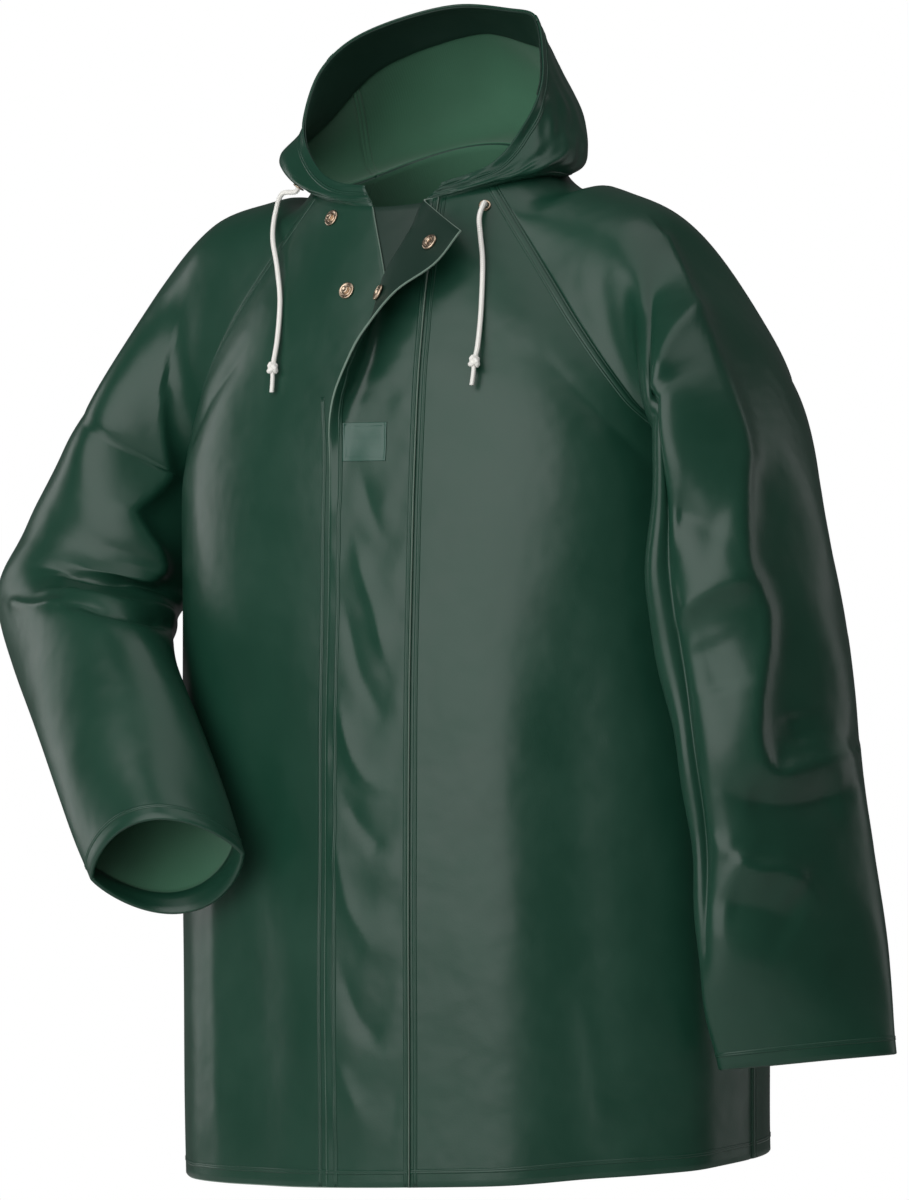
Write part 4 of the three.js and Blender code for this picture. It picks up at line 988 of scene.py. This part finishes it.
def curve_through(points, spacing):
    """A centripetal curve through the points, in steps of about the spacing, and its length."""
    points = np.array(points, float)
    held = np.concatenate([[2 * points[0] - points[1]], points, [2 * points[-1] - points[-2]]])
    t = np.linspace(0, 1, 40, endpoint=False)[:, None]
    fine = []
    for i in range(1, len(held) - 2):
        a, b, c, d = held[i - 1:i + 3]
        ab, bc, cd = (math.sqrt(np.linalg.norm(q - p)) for p, q in ((a, b), (b, c), (c, d)))
        leave = ((b - a) / ab - (c - a) / (ab + bc) + (c - b) / bc) * bc
        arrive = ((c - b) / bc - (d - b) / (bc + cd) + (d - c) / cd) * bc
        fine.append(b + t * leave + t * t * (3 * (c - b) - 2 * leave - arrive)
                    + t ** 3 * (2 * (b - c) + leave + arrive))
    fine = np.concatenate([*fine, points[-1:]])
    run = run_along(fine)
    at = np.linspace(0, run[-1], max(round(run[-1] / spacing), 2) + 1)
    return at_lengths(at, run, fine), run[-1]


def rope(name, path, radius, material, sides=16, braid=0.25, pitch=14):
    """A braided round cord along a path. Its strands cross over its surface and come round once a pitch."""
    tangents = unit(np.gradient(path, axis=0))
    side = unit(np.cross(tangents[0], (0.3, 0.2, 0.9)))
    angles = np.linspace(0, 2 * math.pi, sides, endpoint=False)
    rings = []
    for centre, tangent, run in zip(path, tangents, run_along(path)):
        side = unit(side - tangent * (side @ tangent))
        other = np.cross(tangent, side)
        twist = 2 * math.pi * run / pitch * STRANDS
        weave = np.cos(STRANDS * angles + twist) * np.cos(STRANDS * angles - twist)
        reach = radius * (1 - braid + braid * weave)
        round_it = np.cos(angles)[:, None] * side + np.sin(angles)[:, None] * other
        rings.append(centre + reach[:, None] * round_it)
    places = np.concatenate(rings)
    index = np.arange(len(places)).reshape(len(path), sides)
    near, far = index[:-1], index[1:]
    corners = [near, np.roll(near, -1, axis=1), np.roll(far, -1, axis=1), far]
    faces = np.stack(corners, axis=-1).reshape(-1, 4).tolist()
    faces += [index[0, ::-1].tolist(), index[-1].tolist()]
    return new_piece(name, (places * MM).tolist(), faces, [material])


def overhand_knot(middle, down):
    """The closed curve of an overhand knot that hangs along down, and the direction across it."""
    t = np.linspace(0, 2 * math.pi, 90, endpoint=False)
    across = unit(np.cross(down, (0, 1, 0.2)))
    deep = np.cross(across, down)
    x, y, z = np.sin(t) + 2 * np.sin(2 * t), np.cos(t) - 2 * np.cos(2 * t), -np.sin(3 * t)
    turns = x[:, None] * across + z[:, None] * KNOT_FLATNESS * deep + y[:, None] * down
    loop = middle + KNOT_SIZE * turns
    return np.concatenate([loop, loop[:2]]), across


def make_cords(material):
    """The drawcord's two free ends, each with an overhand knot and a short tail."""
    for side, route in (("right", DRAWCORD_RIGHT), ("left", DRAWCORD_LEFT)):
        place, out = eyelet_places()[side]
        leaves = place + out * 0.3
        points = np.array([leaves, place + out * 5, *route])
        tail, knot, last = points[-1], points[-2], points[-3]
        meet = knot + unit(last - knot) * (KNOT_RADIUS + 0.1)
        path, length = curve_through([*points[:-2], meet], 0.5)
        cord = rope(f"cord_{side}", path, CORD_WIDTH / 2, material, sides=24)
        carry(cord, "cord", f"drawcord_{side}")
        loop, across = overhand_knot(knot, unit(tail - knot))
        ball = rope(f"knot_loop_{side}", loop, KNOT_STRAND_WIDTH / 2, material, braid=0.14, pitch=12)
        carry(ball, "cord", f"knot_{side}")
        tail_path, _ = curve_through([knot, mix(knot, tail, 0.5) + across * 0.4, tail], 0.8)
        end = carry(rope(f"knot_{side}_tail", tail_path, TAIL_WIDTH / 2, material), "cord")


def make_badge(material):
    """A bare patch welded on the flap, with its edge pressed down all round."""
    low, high = BADGE_LEVELS
    near, far = BADGE_DISTANCES
    flap, _ = PANELS["storm_flap"]
    levels = np.linspace(low, high, BADGE_COUNT)
    distances = np.linspace(far, near, BADGE_COUNT)
    rows = np.interp(levels, body_levels(), np.arange(len(flap)))
    columns = (FLAP_WIDTH - distances) / FLAP_WIDTH * (flap.shape[1] - 1)
    r, c = np.meshgrid(rows, columns, indexing="ij")
    r0, c0 = r.astype(int), c.astype(int)
    up, along = (r - r0)[..., None], (c - c0)[..., None]
    below = mix(flap[r0, c0], flap[r0, c0 + 1], along)
    above = mix(flap[r0 + 1, c0], flap[r0 + 1, c0 + 1], along)
    grid = mix(below, above, up)
    out = grid_normals(grid)
    edge = np.minimum(np.minimum(distances - near, far - distances)[None, :],
                      np.minimum(levels - low, high - levels)[:, None] * BADGE_LEVEL_HEIGHT)
    height = BADGE_THICKNESS - PRESSED_DEPTH * np.exp(-((edge - PRESSED_AT) / PRESSED_WIDTH) ** 2)
    patch = shell("welded_patch", grid + out * height[..., None], out, height + 0.05, [material], lip=0.3)
    carry(patch, "badge_cloth", "badge")


# Materials

def linear(hex_colour, share=1):
    """An sRGB hex value as linear red, green, blue and alpha, or a share of its brightness."""
    parts = [int(hex_colour[i:i + 2], 16) / 255 for i in (0, 2, 4)]
    bright = [p / 12.92 if p <= 0.04045 else ((p + 0.055) / 1.055) ** 2.4 for p in parts]
    return (*(share * value for value in bright), 1.0)


def per_metre(spacing):
    """The scale of a pattern that repeats at a spacing in millimetres."""
    return 1 / (spacing * MM)


def socket(sockets, name):
    """A node's socket by its identifier or else by its name."""
    return next((found for found in sockets if found.identifier == name), None) or sockets[name]


def add_node(tree, kind, settings=None, links=None):
    """A node with its settings, which may be its inputs' values, and links into its inputs."""
    made = tree.nodes.new(kind)
    for name, value in (settings or {}).items():
        if hasattr(made, name):
            setattr(made, name, value)
        else:
            socket(made.inputs, name).default_value = value
    for name, source in (links or {}).items():
        tree.links.new(source, made.inputs[name])
    return made


def new_material(name, settings):
    """A material, its nodes, its shader with the constant values set, and the object's own places."""
    material = bpy.data.materials.new(name)
    material.use_nodes = True
    tree = material.node_tree
    shader = tree.nodes["Principled BSDF"]
    for key, value in settings.items():
        shader.inputs[key].default_value = value
    place = add_node(tree, "ShaderNodeTexCoord").outputs["Object"]
    return material, tree, shader, place


def calendered_pvc(name, colour, roughness, ripple=1.0):
    """PVC spread on knit and calendered: a wet-looking skin whose reflections wander with the knit."""
    material, tree, shader, place = new_material(name, {"IOR": 1.53, "Specular IOR Level": 0.38})
    # The tone and the polish drift over about 70 mm.
    drift = {"Scale": per_metre(71.43), "Detail": 4.0, "Roughness": 0.6}
    cloudy = add_node(tree, "ShaderNodeTexNoise", drift, {"Vector": place}).outputs["Fac"]
    tones = {"data_type": "RGBA", "A_Color": linear(colour, 0.82), "B_Color": linear(colour, 1.16)}
    blend = add_node(tree, "ShaderNodeMix", tones, {"Factor": cloudy})
    tree.links.new(socket(blend.outputs, "Result_Color"), shader.inputs["Base Color"])
    polish = {"From Min": 0.3, "From Max": 0.7, "To Min": roughness - 0.04, "To Max": roughness + 0.06}
    handled = add_node(tree, "ShaderNodeMapRange", polish, {"Value": cloudy})
    tree.links.new(handled.outputs["Result"], shader.inputs["Roughness"])
    # Slow ripples about 45 mm apart, and a skin grain of about 1.5 mm, coarser than real so that it shows.
    slow = add_node(tree, "ShaderNodeTexNoise", {"Scale": per_metre(45.455), "Detail": 2.0},
                    {"Vector": place})
    grain = add_node(tree, "ShaderNodeTexNoise", {"Scale": per_metre(1.53846), "Detail": 2.0},
                     {"Vector": place})
    waved = add_node(tree, "ShaderNodeBump", {"Strength": 0.35 * ripple, "Distance": 0.004},
                     {"Height": slow.outputs["Fac"]})
    grained = add_node(tree, "ShaderNodeBump", {"Strength": 0.12, "Distance": 0.0004},
                       {"Height": grain.outputs["Fac"], "Normal": waved.outputs["Normal"]})
    tree.links.new(grained.outputs["Normal"], shader.inputs["Normal"])
    return material


def knit_backing(name, colour):
    """Polyester knit under the coating: matt and a little fuzzy, with fine ribs."""
    material, tree, shader, place = new_material(name, {"Roughness": 0.8, "Sheen Weight": 0.25})
    cloudy = add_node(tree, "ShaderNodeTexNoise", {"Scale": per_metre(55.556), "Detail": 5.0},
                      {"Vector": place})
    tones = {"data_type": "RGBA", "A_Color": linear(colour, 0.85), "B_Color": linear(colour, 1.15)}
    blend = add_node(tree, "ShaderNodeMix", tones, {"Factor": cloudy.outputs["Fac"]})
    tree.links.new(socket(blend.outputs, "Result_Color"), shader.inputs["Base Color"])
    # Ribs 1.65 mm apart, coarser than real so that they show. A wave of scale 1 turns 20 radians a metre.
    ribbing = {"Scale": per_metre(1.65347) * 2 * math.pi / 20, "Distortion": 1.5, "Detail": 2.0}
    ribs = add_node(tree, "ShaderNodeTexWave", ribbing, {"Vector": place})
    raised = add_node(tree, "ShaderNodeBump", {"Strength": 0.12, "Distance": 0.0005},
                      {"Height": ribs.outputs["Fac"]})
    tree.links.new(raised.outputs["Normal"], shader.inputs["Normal"])
    return material


def plated_brass(name, colour):
    """Pressed brass, plated a coppery tone, dulled a little where it was handled."""
    material, tree, shader, place = new_material(name, {"Base Color": linear(colour), "Metallic": 1.0})
    dull = add_node(tree, "ShaderNodeTexNoise", {"Scale": per_metre(2.381), "Detail": 4.0}, {"Vector": place})
    handled = add_node(tree, "ShaderNodeMapRange", {"To Min": 0.16, "To Max": 0.42},
                       {"Value": dull.outputs["Fac"]})
    tree.links.new(handled.outputs["Result"], shader.inputs["Roughness"])
    return material


def braided_polyester(name, colour):
    """White polyester cord, braided in the mesh, with yarn fuzz as a grain of about 1 mm."""
    finish = {"Base Color": linear(colour), "Roughness": 0.75, "Sheen Weight": 0.3}
    material, tree, shader, place = new_material(name, finish)
    yarn = add_node(tree, "ShaderNodeTexNoise", {"Scale": per_metre(1.1111), "Detail": 3.0},
                    {"Vector": place})
    raised = add_node(tree, "ShaderNodeBump", {"Strength": 0.4, "Distance": 0.0004},
                      {"Height": yarn.outputs["Fac"]})
    tree.links.new(raised.outputs["Normal"], shader.inputs["Normal"])
    return material


# Each colour's finish: how it is made, the material's name and what else it takes
FINISHES = {
    "coating": (calendered_pvc, "calendered_pvc", {"roughness": 0.32}),
    # The facing's darker colour is painted shade on the coated strips inside the hood and behind the flap.
    "facing": (calendered_pvc, "calendered_pvc_facing", {"roughness": 0.5}),
    "patch": (calendered_pvc, "clear_patch", {"roughness": 0.22, "ripple": 0.5}),
    "edge": (knit_backing, "cut_knit_edge", {}),
    "backing": (knit_backing, "knit_backing", {}),
    "metal": (plated_brass, "plated_brass", {}),
    "cord": (braided_polyester, "braided_polyester", {}),
}
MADE = {}  # the finishes that are made already


def finish_of(key):
    """Makes each finish once and gives it again when asked."""
    if key not in MADE:
        maker, name, rest = FINISHES[key]
        MADE[key] = maker(name, getattr(bpy.context.scene.raincoat_colours, key), **rest)
    return MADE[key]


def finishes(*keys):
    """Several finishes at once."""
    return [finish_of(key) for key in keys]


# The studio

# Softboxes: azimuth from the camera's, elevation, distance, and width and height in metres
SOFTBOXES = {
    "key": (-34, 15, 2.4, (2.4, 2.8)),
    "side": (-116, 6, 2.3, (0.9, 1.9)),
    "right": (105, 5, 2.4, (0.8, 2.2)),
    "top": (30, 68, 2.4, (2.2, 2.2)),
}
FLOOR_RADIUS = 2.3  # metres
FLOOR_HEIGHT = -1.25  # metres


def place_looking(thing, toward, location):
    """Puts a camera or a light at a location and turns it back along toward."""
    thing.location = location
    thing.rotation_mode = "QUATERNION"
    thing.rotation_quaternion = (-toward).to_track_quat("-Z", "Y")
    bpy.context.scene.collection.objects.link(thing)


def make_camera():
    """The camera at the picture's angle and distance."""
    data = bpy.data.cameras.new("camera")
    data.sensor_width = 36
    data.lens = data.sensor_width * CAMERA_DISTANCE / PIXEL_SIZE / PICTURE_HEIGHT
    data.clip_end = 50
    camera = bpy.data.objects.new("camera", data)
    azimuth = math.radians(CAMERA_AZIMUTH)
    toward = Vector((math.sin(azimuth), -math.cos(azimuth), 0))
    place_looking(camera, toward, (Vector(CAMERA_AIM) + toward * CAMERA_DISTANCE) * MM)
    bpy.context.scene.camera = camera


def soft_light(name, azimuth, elevation, distance, size, power):
    """A softbox that looks at the coat. Azimuth is counted as the camera's is."""
    light = bpy.data.lights.new(name, "AREA")
    light.shape = "RECTANGLE"
    light.size, light.size_y = size
    light.energy = power
    lamp = bpy.data.objects.new(name, light)
    a, e = math.radians(azimuth), math.radians(elevation)
    toward = Vector((math.sin(a) * math.cos(e), -math.cos(a) * math.cos(e), math.sin(e)))
    place_looking(lamp, toward, Vector(CAMERA_AIM) * MM + toward * distance)
    lamp.visible_camera = False


def make_surround(strength):
    """A room that is white to the camera and dim as a light."""
    world = bpy.data.worlds.new("white_surround")
    world.use_nodes = True
    tree = world.node_tree
    tree.nodes.clear()
    rays = add_node(tree, "ShaderNodeLightPath")
    dim = add_node(tree, "ShaderNodeBackground", {"Color": (1, 1, 1, 1), "Strength": strength})
    white = add_node(tree, "ShaderNodeBackground", {"Color": (1, 1, 1, 1), "Strength": 1.0})
    both = add_node(tree, "ShaderNodeMixShader", {}, {"Fac": rays.outputs["Is Camera Ray"]})
    tree.links.new(dim.outputs["Background"], both.inputs[1])
    tree.links.new(white.outputs["Background"], both.inputs[2])
    add_node(tree, "ShaderNodeOutputWorld", {}, {"Surface": both.outputs["Shader"]})
    bpy.context.scene.world = world
    bpy.context.scene.view_settings.view_transform = "Standard"


def make_floor():
    """A floor of pale rolled paint, dull and faintly pebbled."""
    bpy.ops.mesh.primitive_circle_add(
        vertices=96, radius=FLOOR_RADIUS, fill_type="NGON", location=(0, 0, FLOOR_HEIGHT))
    floor = bpy.context.object
    floor.name = "floor"
    finish = {"Base Color": linear("EEEEED"), "Roughness": 0.8}
    paint, tree, shader, place = new_material("pale_floor_paint", finish)
    # The roller's pebbles are drawn 17 mm apart, much coarser than real.
    rolled = add_node(tree, "ShaderNodeTexNoise", {"Scale": per_metre(16.667), "Detail": 2.0},
                      {"Vector": place})
    pebbled = add_node(tree, "ShaderNodeBump", {"Strength": 0.05, "Distance": 0.001},
                       {"Height": rolled.outputs["Fac"]})
    tree.links.new(pebbled.outputs["Normal"], shader.inputs["Normal"])
    floor.data.materials.append(paint)


def make_stage():
    """The camera, soft light, a white surround and a pale floor."""
    studio = bpy.context.scene.raincoat_studio
    make_camera()
    for name, (azimuth, *place) in SOFTBOXES.items():
        soft_light(f"{name}_softbox", CAMERA_AZIMUTH + azimuth, *place, getattr(studio, name))
    make_surround(studio.surround)
    make_floor()


# The steps that a user can run

class RAINCOAT_OT_stage(bpy.types.Operator):
    """Places the camera, the lights and the floor"""

    bl_idname = "raincoat.stage"
    bl_label = "Studio"

    def execute(self, context):
        make_stage()
        return {"FINISHED"}


class RAINCOAT_OT_cords(bpy.types.Operator):
    """Braids the drawcord's free ends and ties their knots"""

    bl_idname = "raincoat.cords"
    bl_label = "Drawcord"

    def execute(self, context):
        make_cords(finish_of("cord"))
        return {"FINISHED"}


class RAINCOAT_OT_body(bpy.types.Operator):
    """Makes the back and the fronts"""

    bl_idname = "raincoat.body"
    bl_label = "Back and fronts"

    def execute(self, context):
        make_body(finishes("coating", "backing", "edge"))
        return {"FINISHED"}


class RAINCOAT_OT_sleeves(bpy.types.Operator):
    """Makes the two raglan sleeves with their folds"""

    bl_idname = "raincoat.sleeves"
    bl_label = "Sleeves"

    def execute(self, context):
        make_sleeves(finishes("coating", "backing"))
        return {"FINISHED"}


class RAINCOAT_OT_closure(bpy.types.Operator):
    """Makes the storm flap, turned open at the neck, and the placket behind it"""

    bl_idname = "raincoat.closure"
    bl_label = "Storm flap and placket"

    def execute(self, context):
        make_closure(finishes("coating", "facing", "edge"), finishes("facing", "backing"))
        return {"FINISHED"}


class RAINCOAT_OT_hood(bpy.types.Operator):
    """Makes the hood's panels and its facing"""

    bl_idname = "raincoat.hood"
    bl_label = "Hood"

    def execute(self, context):
        make_hood(finishes("coating", "backing"), finishes("facing", "facing"))
        return {"FINISHED"}


class RAINCOAT_OT_welds(bpy.types.Operator):
    """Presses the welded seams along the panels' edges"""

    bl_idname = "raincoat.welds"
    bl_label = "Welded seams"

    def execute(self, context):
        make_welds(*finishes("coating", "backing"))
        return {"FINISHED"}


class RAINCOAT_OT_fittings(bpy.types.Operator):
    """Sets the press studs and the eyelets"""

    bl_idname = "raincoat.fittings"
    bl_label = "Studs and eyelets"

    def execute(self, context):
        make_studs(finish_of("metal"))
        make_eyelets(finish_of("metal"))
        return {"FINISHED"}


class RAINCOAT_OT_badge(bpy.types.Operator):
    """Welds the bare patch on the flap"""

    bl_idname = "raincoat.badge"
    bl_label = "Patch"

    def execute(self, context):
        make_badge(finish_of("patch"))
        return {"FINISHED"}


class RAINCOAT_OT_cuts(bpy.types.Operator):
    """A step that does nothing"""

    bl_idname = "raincoat.cuts"
    bl_label = "Flat sizes"

    def execute(self, context):
        return {"FINISHED"}


OPERATORS = (RAINCOAT_OT_stage, RAINCOAT_OT_cords, RAINCOAT_OT_body, RAINCOAT_OT_sleeves, RAINCOAT_OT_closure,
             RAINCOAT_OT_hood, RAINCOAT_OT_welds, RAINCOAT_OT_fittings, RAINCOAT_OT_badge, RAINCOAT_OT_cuts)


class RAINCOAT_PT_panel(bpy.types.Panel):
    """Lists the steps that make the coat"""

    bl_idname = "RAINCOAT_PT_panel"
    bl_label = "Raincoat"
    bl_space_type = "VIEW_3D"
    bl_region_type = "UI"
    bl_category = "Raincoat"

    def draw(self, context):
        for step in OPERATORS:
            self.layout.operator(step.bl_idname)


CLASSES = (RaincoatSizes, RaincoatColours, RaincoatStudio, *OPERATORS, RAINCOAT_PT_panel)
SETTINGS = {
    "raincoat_sizes": RaincoatSizes,
    "raincoat_colours": RaincoatColours,
    "raincoat_studio": RaincoatStudio,
}


def register():
    """Registers the classes and hangs the settings on the scene."""
    for made in CLASSES:
        bpy.utils.register_class(made)
    for name, group in SETTINGS.items():
        setattr(bpy.types.Scene, name, bpy.props.PointerProperty(type=group))


def unregister():
    """Takes the settings and the classes away again."""
    for name in SETTINGS:
        delattr(bpy.types.Scene, name)
    for made in reversed(CLASSES):
        bpy.utils.unregister_class(made)


def main():
    """Makes the coat step by step."""
    register()
    for step in OPERATORS:
        group, name = step.bl_idname.split(".")
        getattr(getattr(bpy.ops, group), name)()


if __name__ == "__main__":
    main()
